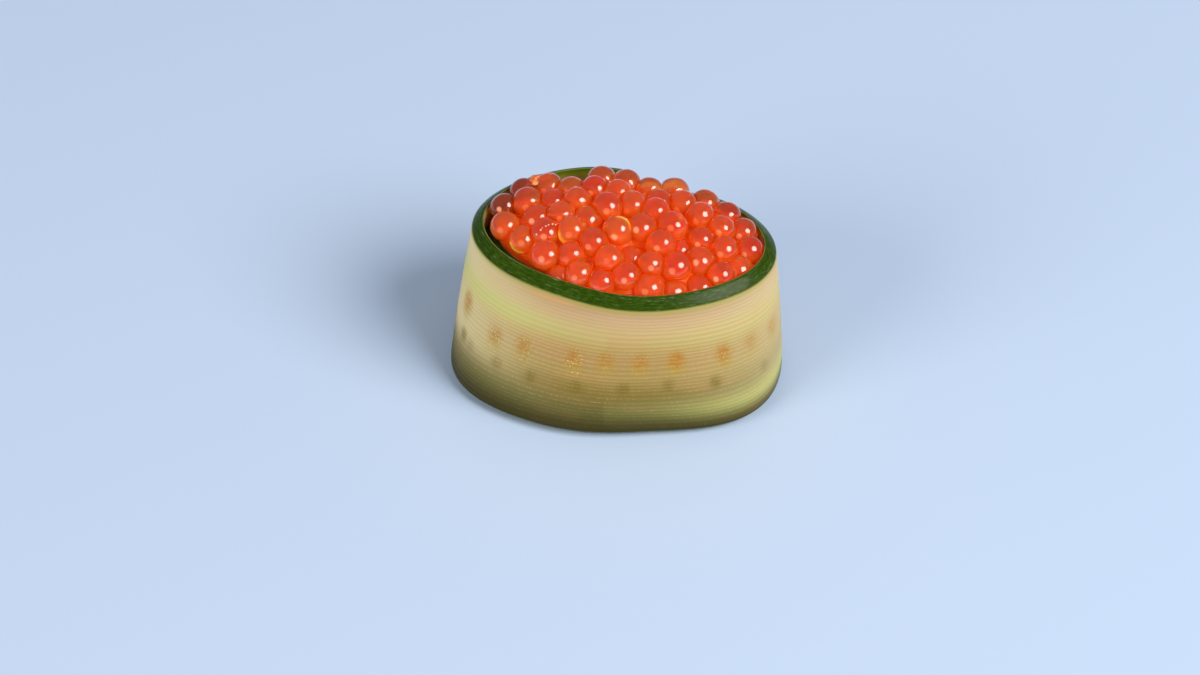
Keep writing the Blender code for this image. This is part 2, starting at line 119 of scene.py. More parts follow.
def add_node(tree: bpy.types.NodeTree, kind: str, settings: dict[Any, Any] | None = None,
             links: dict[Any, bpy.types.NodeSocket] | None = None,
             out: str | None = None) -> bpy.types.NodeSocket:
    """Add a node, set what is constant on it and link the rest.

    Args:
        tree: node tree that gets the node.
        kind: type name of the node, after its "ShaderNode".
        settings: values by the name of a node property, or by the name or number of an input.
            Text that starts with "#" is a colour, and "stops" holds a colour ramp's
            (position, colour) pairs.
        links: sockets to link from, by the name or number of an input.
        out: name of the output that is wanted, where it isn't the first in use.

    Returns:
        The output.
    """
    node = tree.nodes.new("ShaderNode" + kind)
    for key, value in (settings or {}).items():
        if key == "stops":
            elements = node.color_ramp.elements
            while len(elements) < len(value):
                elements.new(1.0)
            for element, (position, code) in zip(elements, value):
                element.position = position
                element.color = srgb(code)
        elif isinstance(key, str) and hasattr(node, key):
            setattr(node, key, value)
        else:
            is_colour = isinstance(value, str) and value.startswith("#")
            socket_of(node.inputs, key).default_value = srgb(value) if is_colour else value
    for key, source in (links or {}).items():
        tree.links.new(source, socket_of(node.inputs, key))
    return socket_of(node.outputs, out)


def new_material(name: str) -> tuple[bpy.types.Material, bpy.types.NodeTree]:
    """Make an empty node material.

    Args:
        name: the material's name.

    Returns:
        The material and its node tree.
    """
    material = bpy.data.materials.new(name)
    material.use_nodes = True
    material.node_tree.nodes.clear()
    return material, material.node_tree


def close_material(tree: bpy.types.NodeTree, surface: bpy.types.NodeSocket) -> None:
    """Link a shader to a new material output."""
    tree.links.new(surface, tree.nodes.new("ShaderNodeOutputMaterial").inputs["Surface"])


def mesh_piece(name: str, points: Array, faces: Faces, material: bpy.types.Material,
               attributes: dict[str, Array] | None = None) -> bpy.types.Object:
    """Make a smooth-shaded object at the origin from arrays.

    Args:
        name: the object's name.
        points: vertex places, N by 3.
        faces: vertex numbers of each face, anticlockwise from outside.
        material: finish of the whole piece.
        attributes: point attributes by name: one number for each point, or three.

    Returns:
        The object, linked to the scene.
    """
    mesh = bpy.data.meshes.new(name)
    mesh.from_pydata(points.tolist(), [], faces)
    for label, values in (attributes or {}).items():
        is_vector = values.size == 3 * len(points)
        kind, field_name = ("FLOAT_VECTOR", "vector") if is_vector else ("FLOAT", "value")
        layer = mesh.attributes.new(label, kind, "POINT")
        layer.data.foreach_set(field_name, np.ascontiguousarray(values, np.float32).ravel())
    mesh.materials.append(material)
    mesh.shade_smooth()
    piece = bpy.data.objects.new(name, mesh)
    bpy.context.scene.collection.objects.link(piece)
    return piece


def ring_quads(rings: int, count: int) -> Array:
    """Quads between rings of points that are numbered ring by ring.

    Args:
        rings: number of rings.
        count: number of points in a ring.

    Returns:
        Vertex numbers, one quad a line.
    """
    ring, column = np.meshgrid(np.arange(rings - 1), np.arange(count), indexing="ij")
    after = (column + 1) % count
    corners = [ring * count + column, ring * count + after,
               (ring + 1) * count + after, (ring + 1) * count + column]
    return np.stack(corners, axis=-1).reshape(-1, 4)


def stacked(rings: list[Array]) -> tuple[Array, Faces]:
    """Join rings of points into one skin, closed at the first and the last ring.

    Args:
        rings: points of each ring. If they run anticlockwise from above and the first ring is
            the lowest, the faces point outwards.

    Returns:
        Points and faces.
    """
    count, total = len(rings[0]), len(rings[0]) * len(rings)
    ends = [list(range(count - 1, -1, -1)), list(range(total - count, total))]
    return np.concatenate(rings), ring_quads(len(rings), count).tolist() + ends


def drawn_in(ring: Array, share: float) -> Array:
    """Bring a ring of points in to a share of its distance from its middle."""
    middle = ring.mean(axis=0)
    return middle + (ring - middle) * share


def dome(ring: Array, shares: Array, top: float, crown: float) -> list[Array]:
    """Draw a ring in to each of some shares, at the height top - crown share^2.

    Args:
        ring: points of the ring.
        shares: how far out each new ring lies.
        top: height of the dome's middle.
        crown: how much lower the dome is at a share of one.

    Returns:
        The new rings.
    """
    rings = [drawn_in(ring, share) for share in shares]
    for share, points in zip(shares, rings):
        points[:, 2] = top - crown * share * share
    return rings


def joined(parts: list[tuple[Array, Faces]]) -> tuple[Array, Faces]:
    """Put meshes together into one.

    Args:
        parts: points and faces of each.

    Returns:
        All the points, and all the faces with their vertices numbered on.
    """
    faces, start = [], 0
    for points, part_faces in parts:
        faces += [[start + corner for corner in face] for face in part_faces]
        start += len(points)
    return np.concatenate([points for points, _ in parts]), faces


def unit_sphere(rings: int, segments: int) -> tuple[Array, Faces]:
    """Sphere of radius one on a grid of two angles, closed by a point at each pole.

    Args:
        rings: rings between the poles.
        segments: points in a ring.

    Returns:
        Points and faces.
    """
    polar = np.linspace(0.0, math.pi, rings + 2)[1:-1, None]
    round_z = np.arange(segments)[None, :] * TURN / segments
    body = np.stack([np.sin(polar) * np.cos(round_z), np.sin(polar) * np.sin(round_z),
                     np.broadcast_to(np.cos(polar), (rings, segments))], axis=-1)
    points = np.concatenate([[[0.0, 0.0, 1.0]], body.reshape(-1, 3), [[0.0, 0.0, -1.0]]])
    quads = ring_quads(rings, segments)[:, ::-1] + 1
    column = np.arange(segments)
    after = (column + 1) % segments
    last = (rings - 1) * segments + 1
    upper = np.stack([0 * column, column + 1, after + 1], axis=-1)
    lower = np.stack([0 * column + last + segments, last + after, last + column], axis=-1)
    return points, quads.tolist() + upper.tolist() + lower.tolist()


def blurred(values: Array, spread: float) -> Array:
    """Smooth samples that run round a closed line: means weighted by a bell curve.

    Args:
        values: evenly spaced samples, along the first axis.
        spread: standard deviation of the bell curve, in samples.

    Returns:
        The smoothed samples.
    """
    reach = int(math.ceil(3.0 * spread))
    offsets = np.arange(-reach, reach + 1)
    weights = np.exp(-0.5 * (offsets / spread) ** 2)
    weights /= weights.sum()
    return sum(weight * np.roll(values, offset, axis=0) for weight, offset in zip(weights, offsets))


# ---------------------------------------------------------------------------------------------
# Shape shared with the CAD source: the oval, the ribbon's route and the packing of the eggs
# ---------------------------------------------------------------------------------------------


@dataclass(frozen=True)
class Oval:
    """Oval that the ribbon's outer face follows, large at the foot and rounder at the rim."""

    height: float = 33.4 * MM
    skin_height: float = 1.9 * MM
    base_half_length: float = 29.6 * MM
    rim_half_length: float = 27.8 * MM
    length_taper: float = 1.4
    base_half_width: float = 20.3 * MM
    rim_half_width: float = 18.0 * MM
    base_power: float = 2.68
    rim_power: float = 2.0
    power_fade: float = 1.5
    rim_lean: float = 2.1 * MM
    rim_twist: float = math.radians(-3.6)
    # (waves round the oval, depth, angle of the first crest)
    base_waves: tuple = ((3, 0.051, math.radians(-3.4)), (4, 0.038, math.radians(5.0)))
    rim_waves: tuple = ((3, 0.012, math.radians(8.1)), (4, 0.023, math.radians(21.2)))
    start: float = math.radians(98)
    steps_per_turn: int = 72
    centre_levels: int = 6
    # Half of the angle over which the wall's direction is measured.
    small_angle: float = 0.01

    def once_round(self, count: int) -> Array:
        """Angles of evenly spaced points once round, from the ribbon's outer end."""
        return self.start + np.arange(count) * TURN / count

    def wave_factor(self, angle: Array, waves: tuple) -> Array:
        """One plus a sum of cosines round the oval, one for each (count, depth, crest)."""
        return 1.0 + sum(depth * np.cos(count * (angle - crest)) for count, depth, crest in waves)

    def plan(self, angle: Array, level: Array) -> tuple[Array, Array]:
        """Plan points of the outer face, before centring.

        A superellipse, |x/a|^p + |y/b|^p = 1, whose half axes and power change with the level,
        times the waves, turned and shifted a little towards the rim.

        Args:
            angle: direction from the middle.
            level: 0 at the outer face's lower edge and 1 at its upper edge.

        Returns:
            x and y.
        """
        angle, level = np.broadcast_arrays(np.asarray(angle, float), np.asarray(level, float))
        level = np.clip(level, 0.0, 1.0)
        longer = self.rim_half_length - self.base_half_length
        half_length = self.base_half_length + longer * level ** self.length_taper
        half_width = self.base_half_width + (self.rim_half_width - self.base_half_width) * level
        fade = (1.0 - level) ** self.power_fade
        power = self.rim_power + (self.base_power - self.rim_power) * fade
        across = np.abs(np.cos(angle) / half_length) ** power
        along = np.abs(np.sin(angle) / half_width) ** power
        radius = (across + along) ** (-1.0 / power)
        waves = self.wave_factor(angle, self.base_waves) * (1.0 - level)
        waves = waves + self.wave_factor(angle, self.rim_waves) * level
        turned = angle + self.rim_twist * level
        x = radius * waves * np.cos(turned) + self.rim_lean * level
        return x, radius * waves * np.sin(turned)

    def centre(self) -> tuple[float, float]:
        """Find the middle of the outline's box, from one turn of points at a few levels.

        Returns:
            x and y.
        """
        angle = self.once_round(self.steps_per_turn)
        x, y = self.plan(angle[:, None], np.linspace(0.0, 1.0, self.centre_levels)[None, :])
        return 0.5 * (x.min() + x.max()), 0.5 * (y.min() + y.max())

    def wall(self, angle: Array, height: Array, depth: Array) -> Array:
        """Points at a depth inside the outer face, square to it.

        The outline point at that angle and height, moved along the plan's inward normal, which
        comes from the difference between the outline a little ahead and a little behind.

        Args:
            angle: direction from the middle.
            height: height above the table.
            depth: distance inwards from the outer face.

        Returns:
            Points, with x, y and z on the last axis.
        """
        level = (height - self.skin_height) / (self.height - 2.0 * self.skin_height)
        x, y = self.plan(angle, level)
        ahead_x, ahead_y = self.plan(angle + self.small_angle, level)
        behind_x, behind_y = self.plan(angle - self.small_angle, level)
        along_x, along_y = ahead_x - behind_x, ahead_y - behind_y
        length = np.hypot(along_x, along_y)
        centre_x, centre_y = self.centre()
        x = x - along_y / length * depth - centre_x
        y = y + along_x / length * depth - centre_y
        return np.stack([x, y, np.broadcast_to(height, x.shape)], axis=-1)


@dataclass(frozen=True)
class Route:
    """How the ribbon winds: once round the oval, then under its own start and on inside."""

    oval: Oval = Oval()
    thickness: float = 2.25 * MM
    gap: float = 0.3 * MM
    skin_rounding: float = 1.35
    foot_share: float = 0.8
    inner_steps: int = 27
    dive_steps: int = 9
    inner_drop: float = 2.6 * MM
    drop_steps: int = 13
    inner_end_ramp: float = math.radians(13)

    @property
    def last_step(self) -> int:
        """Step of the ribbon's inner end."""
        return self.oval.steps_per_turn + self.inner_steps

    def angle(self, step: Array) -> Array:
        """Angle of a step along the ribbon."""
        return self.oval.start + step * TURN / self.oval.steps_per_turn

    def depth(self, step: Array) -> Array:
        """Depth of the outer face inside the oval: it eases inwards before it passes its start."""
        past = step - self.oval.steps_per_turn + self.dive_steps
        return (self.thickness + self.gap) * smoothstep(past / self.dive_steps)

    def top(self, step: Array) -> Array:
        """Height of the upper edge: it eases down towards the narrower inner end."""
        past = step - self.oval.steps_per_turn + self.drop_steps
        return self.oval.height - self.inner_drop * smoothstep(past / self.drop_steps)

    def well_depth(self, angle: Array) -> Array:
        """Depth of the well's wall: one layer of ribbon, or two where it overlaps.

        Args:
            angle: direction from the middle.

        Returns:
            Depths inside the oval.
        """
        past_start = np.mod(angle - self.oval.start, TURN)
        dive = self.dive_steps * TURN / self.oval.steps_per_turn
        inner_turn = self.inner_steps * TURN / self.oval.steps_per_turn
        rising = smoothstep((past_start - TURN + dive) / dive)
        falling = 1.0 - smoothstep((past_start - inner_turn) / self.inner_end_ramp)
        return self.thickness + (self.thickness + self.gap) * np.maximum(rising, falling)

    def well_ring(self, height: float, margin: float = 0.0, count: int = 72) -> Array:
        """Points round the well's wall at a height, a margin inside it."""
        angle = self.oval.once_round(count)
        return self.oval.wall(angle, np.full(count, height), self.well_depth(angle) + margin)


@dataclass(frozen=True)
class RoePacking:
    """Places of the eggs in the well, settled exactly as in the CAD source."""

    route: Route = Route()
    rice_top: float = 24.0 * MM
    rice_crown: float = 1.5 * MM
    diameter: float = 4.7 * MM
    size_spread: float = 0.05
    size_limits: tuple = (0.88, 1.12)
    layers: tuple = (60, 50, 40)
    layer_drop: float = 3.3 * MM
    layer_pull: float = 0.02
    scatter: float = 0.8
    seed: int = 11
    steps: int = 600
    wall_gap: float = 0.4 * MM
    last_passes: int = 40
    squeeze: float = 0.5 * MM
    push: float = 0.35
    # Crushed eggs are looked for after this many steps, and then every few.
    drop_after: int = 200
    drop_every: int = 8
    heap_edge: float = 31.2 * MM
    heap_rise: float = 5.2 * MM
    heap_power: float = 0.8
    heap_roughness: float = 0.5 * MM
    # The ribbon's faces are sampled this finely, its upper skin at these shares of its
    # thickness, and its inner end by samples one above another in columns.
    sample_spacing: float = 0.8 * MM
    skin_shares: tuple = (0.0, 0.35, 0.7)
    end_columns: int = 4
    end_samples: int = 14
    landmark_hold: float = 0.15
    # Eggs that can be told one by one, on the skyline and on top: centre in mm, size.
    landmarks: tuple = (
        (-5.1, 10.9, 34.8, 1.00), (-0.1, 10.4, 34.8, 1.00), (3.6, 9.0, 34.0, 0.97),
        (8.1, 10.5, 34.9, 1.08), (14.1, 9.7, 33.8, 1.00), (18.3, 7.6, 33.2, 1.02),
        (22.6, 4.7, 32.6, 0.98), (24.8, 0.3, 31.9, 0.98), (-22.2, 2.0, 33.4, 0.94),
        (-19.0, 6.1, 33.2, 0.96), (-14.5, 7.4, 33.4, 1.02), (-9.9, 6.4, 34.5, 1.00),
        (-5.8, 6.6, 35.7, 0.98), (-16.4, 3.0, 33.8, 1.08), (-8.3, 2.1, 36.0, 1.00),
        (-2.5, 1.9, 36.5, 1.05), (2.0, 2.8, 36.1, 0.98), (6.0, 2.5, 36.6, 1.00),
        (13.9, 4.4, 34.9, 1.02), (-7.2, -4.3, 35.9, 1.05), (-14.3, -1.2, 34.6, 1.00),
        (-21.0, -3.5, 31.6, 1.02), (-15.8, -5.7, 33.1, 1.00), (-10.8, -8.4, 33.6, 1.05),
        (0.5, -3.7, 36.4, 1.05), (9.6, -0.4, 36.4, 1.05),
    )
    # Place against the back wall, high up, where no egg lies.
    bare_place: tuple = (-10.5 * MM, 11.3 * MM)
    bare_reach: float = 2.0 * MM
    bare_above: float = 31.5 * MM
    # An egg that overlaps its nearest by less than loose is moved until they overlap by stuck.
    loose: float = 0.06 * MM
    stuck: float = 0.4 * MM
    # Places are rounded to this many decimals of a metre, so that every run settles alike.
    decimals: int = 8

    def rim_share(self, x: Array, y: Array) -> Array:
        """Distance from the middle of the rim's oval, over the distance to its wall.

        Args:
            x: places along the oval.
            y: places across it.

        Returns:
            Shares, 0 in the middle and 1 at the wall.
        """
        oval = self.route.oval
        count = oval.steps_per_turn
        height, depth = np.full(count, oval.height), np.full(count, self.route.thickness)
        ring = oval.wall(oval.once_round(count), height, depth)
        middle = ring[:, :2].mean(axis=0)
        ring_angle = np.unwrap(np.arctan2(ring[:, 1] - middle[1], ring[:, 0] - middle[0]))
        ring_radius = np.hypot(ring[:, 0] - middle[0], ring[:, 1] - middle[1])
        towards = np.arctan2(y - middle[1], x - middle[0])
        reach = np.interp(towards, ring_angle, ring_radius, period=TURN)
        return np.hypot(x - middle[0], y - middle[1]) / reach

    def lid(self, x: Array, y: Array) -> Array:
        """Height of the uppermost centres, a low dome: edge + rise (1 - share^2)^power."""
        share = np.minimum(self.rim_share(x, y), 1.0)
        return self.heap_edge + self.heap_rise * (1.0 - share * share) ** self.heap_power

    def wall_samples(self) -> KDTree:
        """Gather points over the faces of the ribbon that eggs can touch.

        Returns:
            The points, ready to be searched.
        """
        route, oval = self.route, self.route.oval
        step = np.arange(2 * route.last_step + 1) / 2.0
        angle, depth, top = route.angle(step), route.depth(step), route.top(step)
        low = self.rice_top - self.rice_crown
        below_top = np.arange(0.0, oval.height - self.rice_top + self.rice_crown, self.sample_spacing)
        points = [oval.wall(angle, top - below, depth + route.thickness) for below in below_top]
        for share in self.skin_shares:
            height = top - oval.skin_height * (1.0 - share) ** route.skin_rounding
            points.append(oval.wall(angle, height, depth + route.thickness * share))
        for share in np.linspace(0.0, 1.0, self.end_columns):
            heights = np.linspace(low, top[-1], self.end_samples)
            face_depth = depth[-1] + route.thickness * share
            points.append(oval.wall(np.full(self.end_samples, angle[-1]), heights, face_depth))
        samples = np.concatenate(points)
        tree = KDTree(len(samples))
        for index, point in enumerate(samples):
            tree.insert(point, index)
        tree.balance()
        return tree

    def scattered(self) -> dict[str, Array]:
        """Scatter the eggs: landmarks at their places, the rest in rough layers.

        Returns:
            Arrays of the eggs by name.
        """
        draw = np.random.default_rng(self.seed)
        landmarks = np.array(self.landmarks)
        named = len(landmarks)
        layer = np.repeat(np.arange(len(self.layers)), self.layers)
        loose = draw.normal(1.0, self.size_spread, len(layer) - named)
        size = np.concatenate([landmarks[:, 3], loose])
        ring = self.route.well_ring(self.route.oval.height)
        middle = ring.mean(axis=0)
        spread = np.sqrt(draw.uniform(0.0, self.scatter, len(layer) - named))
        start = middle + (ring[draw.integers(0, len(ring), len(spread))] - middle) * spread[:, None]
        start[:, 2] = self.lid(start[:, 0], start[:, 1]) - layer[named:] * self.layer_drop
        place = np.concatenate([landmarks[:, :3] * MM, start])
        roughness = draw.uniform(-1.0, 1.0, len(layer)) * self.heap_roughness
        roughness[:named] = self.heap_roughness
        return {
            "place": place,
            "home": place.copy(),
            "radius": 0.5 * self.diameter * np.clip(size, *self.size_limits),
            "roughness": roughness,
            "drop": layer * self.layer_drop,
            "hold": np.where(np.arange(len(layer)) < named, self.landmark_hold, 0.0),
        }

    def pairs(self, place: Array, radius: Array) -> tuple[Array, Array, Array]:
        """Compare every egg with every other. An egg and itself count as a metre apart.

        Args:
            place: centres.
            radius: radii.

        Returns:
            Vectors to each egg from each other, their lengths, and how far each two overlap.
        """
        apart = place[:, None, :] - place[None, :, :]
        distance = np.sqrt((apart * apart).sum(axis=2))
        np.fill_diagonal(distance, 1.0)
        return apart, distance, radius[:, None] + radius[None, :] - distance

    def keep_off_wall(self, place: Array, radius: Array, wall: KDTree, passes: int) -> None:
        """Move eggs straight away from the nearest point of the ribbon until they are clear.

        Args:
            place: centres, changed in place.
            radius: radii.
            wall: points of the ribbon.
            passes: how many times to go over all the eggs.
        """
        for _ in range(passes):
            for index, centre in enumerate(place):
                away = centre - np.array(wall.find(centre)[0])
                length = math.sqrt(float((away * away).sum()))
                short = radius[index] + self.wall_gap - length
                if short > 0.0:
                    place[index] = centre + away / length * short

    def settle(self) -> tuple[Array, Array]:
        """Push overlapping eggs apart under the dome until they sit in the well.

        At the end, eggs that were pushed through the wall or lie in the bare place are left out,
        and loose ones are stuck to a neighbour.

        Returns:
            Centres, N by 3, and radii.
        """
        wall = self.wall_samples()
        eggs = self.scattered()
        for step in range(self.steps):
            place, radius, hold = eggs["place"], eggs["radius"], eggs["hold"]
            apart, distance, overlap = self.pairs(place, radius)
            overlap = np.clip(overlap, 0.0, None)
            push = (apart / distance[:, :, None] * overlap[:, :, None]).sum(axis=1) * self.push
            place = place + push + (eggs["home"] - place) * hold[:, None]
            lid = self.lid(place[:, 0], place[:, 1]) + eggs["roughness"]
            pull = (lid - eggs["drop"] - place[:, 2]) * self.layer_pull
            place[:, 2] += np.where(hold > 0.0, 0.0, pull)
            floor = self.rice_top + self.route.gap + radius
            place[:, 2] = np.maximum(np.minimum(place[:, 2], lid), floor)
            self.keep_off_wall(place, radius, wall, 1)
            eggs["place"] = np.round(place, self.decimals)
            if step > self.drop_after and step % self.drop_every == 0:
                eggs = self.without_crushed(eggs)
        self.keep_off_wall(eggs["place"], eggs["radius"], wall, self.last_passes)
        x, y, z = eggs["place"].T
        beside = np.hypot(x - self.bare_place[0], y - self.bare_place[1]) > self.bare_reach
        kept = (self.rim_share(x, y) < 1.0) & (beside | (z < self.bare_above))
        place, radius = eggs["place"][kept], eggs["radius"][kept]
        return self.stuck_together(place, radius), radius

    def stuck_together(self, place: Array, radius: Array) -> Array:
        """Move every loose egg straight to its nearest neighbour until it overlaps it a little.

        Args:
            place: centres.
            radius: radii.

        Returns:
            The centres after that.
        """
        apart, distance, overlap = self.pairs(place, radius)
        nearest = overlap.argmax(axis=1)
        row = np.arange(len(place))
        most = overlap[row, nearest]
        short = np.where(most < self.loose, self.stuck - most, 0.0)
        away = apart[row, nearest] / distance[row, nearest][:, None]
        return np.round(place - away * short[:, None], self.decimals)

    def without_crushed(self, eggs: dict[str, Array]) -> dict[str, Array]:
        """Leave out the later egg of the pair that overlaps most, where it is squeezed too far.

        Args:
            eggs: arrays of the eggs by name.

        Returns:
            The arrays, one egg shorter if one was left out.
        """
        overlap = self.pairs(eggs["place"], eggs["radius"])[2]
        if overlap.max() <= self.squeeze:
            return eggs
        worst = max(np.unravel_index(np.argmax(overlap), overlap.shape))
        return {name: np.delete(values, worst, axis=0) for name, values in eggs.items()}


# ---------------------------------------------------------------------------------------------
# Finishes
# ---------------------------------------------------------------------------------------------


@dataclass(frozen=True)
class Pattern:
    """Noise over the ribbon: grains per mm along, up and through it, and what range it keeps."""

    scale: tuple
    detail: float
    low: float
    high: float
    most: float = 1.0


@dataclass(frozen=True)
class CucumberFinish:
    """Fresh cucumber, sliced lengthwise: moist see-through flesh between two edges of skin."""

    # Flesh from foot to rim, as (share of the height, colour): greener next to the skin and
    # in a band above the seeds, tan between the seeds, pinkish under the rim.
    # Low down the stops are also darker than the flesh is, partly painted shade at the foot.
    flesh: tuple = (
        (0.05, "#5E5E22"), (0.12, "#686328"), (0.22, "#70652E"), (0.34, "#8A7636"),
        (0.46, "#AC9252"), (0.58, "#B49359"), (0.66, "#BA9A5D"), (0.78, "#CCB07B"),
        (0.86, "#CDAB80"), (0.93, "#BA9E69"),
    )
    flesh_height_mm: float = 33.4
    flesh_wander: float = 0.04
    # What lies over the flesh, from the lowest layer up: its mask and its colour.
    layers: tuple = (
        ("pale_end", "#DED09C"), ("green_band", "#CDD07A"), ("blush", "#E5A672"),
        ("orange_tint", "#E5A672"), ("rib_groove", "#7E6430"), ("seed_mark", "#B4963E"),
        ("seed_core", "#B8672A"), ("seed_trace", "#7C6A22"), ("rib_crest", "#F0DEB4"),
        ("glint_speck", "#FFF0B8"), ("foot_shade", "#302A0A"), ("rind", "#A9A84A"),
        ("inner_rind", "#B4BC3C"), ("inner_skin", "#44700F"),
    )
    skin: str = "#273F03"
    skin_fibre: str = "#405C0E"
    # Pale streaks over the skin are a painted highlight.
    skin_highlight: str = "#8C9C84"
    flesh_roughness: float = 0.36
    skin_roughness: float = 0.2
    worn_roughness: float = 0.4
    patterns: tuple = (
        ("wander", Pattern((0.035, 0.05, 0.1), 1.0, 0.25, 0.75)),
        ("blush", Pattern((0.05, 0.22, 0.3), 2.0, 0.5, 0.9, 0.28)),
        ("mottle", Pattern((0.9, 1.4, 1.0), 3.0, 0.3, 0.7)),
        ("patchy", Pattern((0.35, 0.5, 0.4), 1.0, 0.38, 0.52)),
        ("fibres", Pattern((0.8, 3.6, 3.6), 3.0, 0.42, 0.8)),
        ("worn", Pattern((0.5, 4.0, 4.0), 3.0, 0.35, 0.75)),
        ("grain", Pattern((2.4, 7.0, 5.0), 4.0, 0.2, 0.8)),
        ("dashes", Pattern((2.2, 3.0, 1.0), 2.0, 0.5, 0.75)),
        ("highlight_streaks", Pattern((0.5, 7.0, 7.0), 3.0, 0.63, 0.75, 0.75)),
    )
    # Painted highlights, light specks that stand for glints on the wet seed cells, are the middles of
    # small cells: cells per mm, and a speck's edge and heart.
    cells_per_mm: float = 2.3
    speck_edge: float = 0.30
    speck_heart: float = 0.16
    masks: tuple = ("skin", "rind", "inner_rind", "rib_groove", "rib_crest", "pale_end",
                    "green_band", "orange_tint", "foot_shade", "seed_mark", "seed_core",
                    "seed_trace", "seed_glint")
    # Masks that are the product of two others, in order.
    products: tuple = (
        ("glint_share", "seed_glint", "patchy"), ("glint_speck", "cell", "glint_share"),
        ("seed_core", "seed_core", "mottle"), ("rib_crest", "rib_crest", "dashes"),
        ("inner_skin", "inner_rind", "inner_rind"),
    )

    def material(self) -> bpy.types.Material:
        """Build the material.

        The piece carries the pattern's coordinates in "ribbon_mm" (along the ribbon, height,
        depth) and how far each place is skin, rind, seed mark or painted shade in a rib groove.

        Returns:
            The finish of the whole ribbon.
        """
        material, tree = new_material("cucumber_sliced_fresh")
        place = add_node(tree, "Attribute", {"attribute_name": "ribbon_mm"}, out="Vector")
        share = {name: add_node(tree, "Attribute", {"attribute_name": name}, out="Fac")
                 for name in self.masks}
        for name, pattern in self.patterns:
            scaled = add_node(tree, "Mapping", {"Scale": pattern.scale}, {"Vector": place})
            noise = add_node(tree, "TexNoise", {"Scale": 1.0, "Detail": pattern.detail},
                             {"Vector": scaled})
            limits = {"From Min": pattern.low, "From Max": pattern.high, "To Max": pattern.most}
            share[name] = add_node(tree, "MapRange", limits, {"Value": noise})
        cells = add_node(tree, "TexVoronoi", {"Scale": self.cells_per_mm}, {"Vector": place})
        limits = {"From Min": self.speck_edge, "From Max": self.speck_heart}
        share["cell"] = add_node(tree, "MapRange", limits, {"Value": cells})
        for name, *factors in self.products:
            share[name] = add_node(tree, "Math", {"operation": "MULTIPLY"},
                                   {number: share[factor] for number, factor in enumerate(factors)})

        height = add_node(tree, "SeparateXYZ", {}, {"Vector": place}, "Y")
        level = add_node(tree, "Math", {"operation": "MULTIPLY_ADD", 1: 1.0 / self.flesh_height_mm,
                                        2: -0.5 * self.flesh_wander}, {0: height})
        shifted = add_node(tree, "Math", {"operation": "MULTIPLY_ADD", 1: self.flesh_wander},
                           {0: share["wander"], 2: level})
        colour = add_node(tree, "ValToRGB", {"stops": self.flesh}, {"Fac": shifted})
        for name, code in self.layers:
            colour = add_node(tree, "Mix", {"data_type": "RGBA", "B": code},
                              {"Factor": share[name], "A": colour})
        skin = add_node(tree, "Mix", {"data_type": "RGBA", "A": self.skin, "B": self.skin_fibre},
                        {"Factor": share["fibres"]})
        # Pale streaks over the skin: a painted highlight.
        highlighted_skin = add_node(tree, "Mix", {"data_type": "RGBA", "B": self.skin_highlight},
                             {"Factor": share["highlight_streaks"], "A": skin})
        whole = add_node(tree, "Mix", {"data_type": "RGBA"},
                         {"Factor": share["skin"], "A": colour, "B": highlighted_skin})
        skin_gloss = add_node(tree, "MapRange", {"To Min": self.skin_roughness,
                                                 "To Max": self.worn_roughness},
                              {"Value": share["worn"]})
        roughness = add_node(tree, "Mix", {"data_type": "FLOAT", "A": self.flesh_roughness},
                             {"Factor": share["skin"], "B": skin_gloss})
        relief = add_node(tree, "Bump", {"Strength": 0.3, "Distance": 0.05 * MM},
                          {"Height": share["grain"]})
        beads = add_node(tree, "Bump", {"Strength": 0.8, "Distance": 0.12 * MM},
                         {"Height": share["glint_speck"], "Normal": relief})
        close_material(tree, add_node(
            tree, "BsdfPrincipled",
            {"IOR": 1.38, "Specular IOR Level": 0.13, "Subsurface Weight": 0.2,
             "Subsurface Scale": 1.0 * MM, "Subsurface Radius": (1.0, 0.85, 0.4),
             "Coat Weight": 0.06, "Coat Roughness": 0.12},
            {"Base Color": whole, "Roughness": roughness, "Normal": beads}))
        return material


# Light spreads far in the oil of the roe. What one egg passes on to the next keeps the hollows
# between them red; it is added as a faint glow.
OIL_LIGHT = {"Subsurface Weight": 1.0, "Subsurface Scale": 2.5 * MM,
             "Subsurface Radius": (1.0, 0.3, 0.1),
             "Emission Color": "#FF6010", "Emission Strength": 0.07}


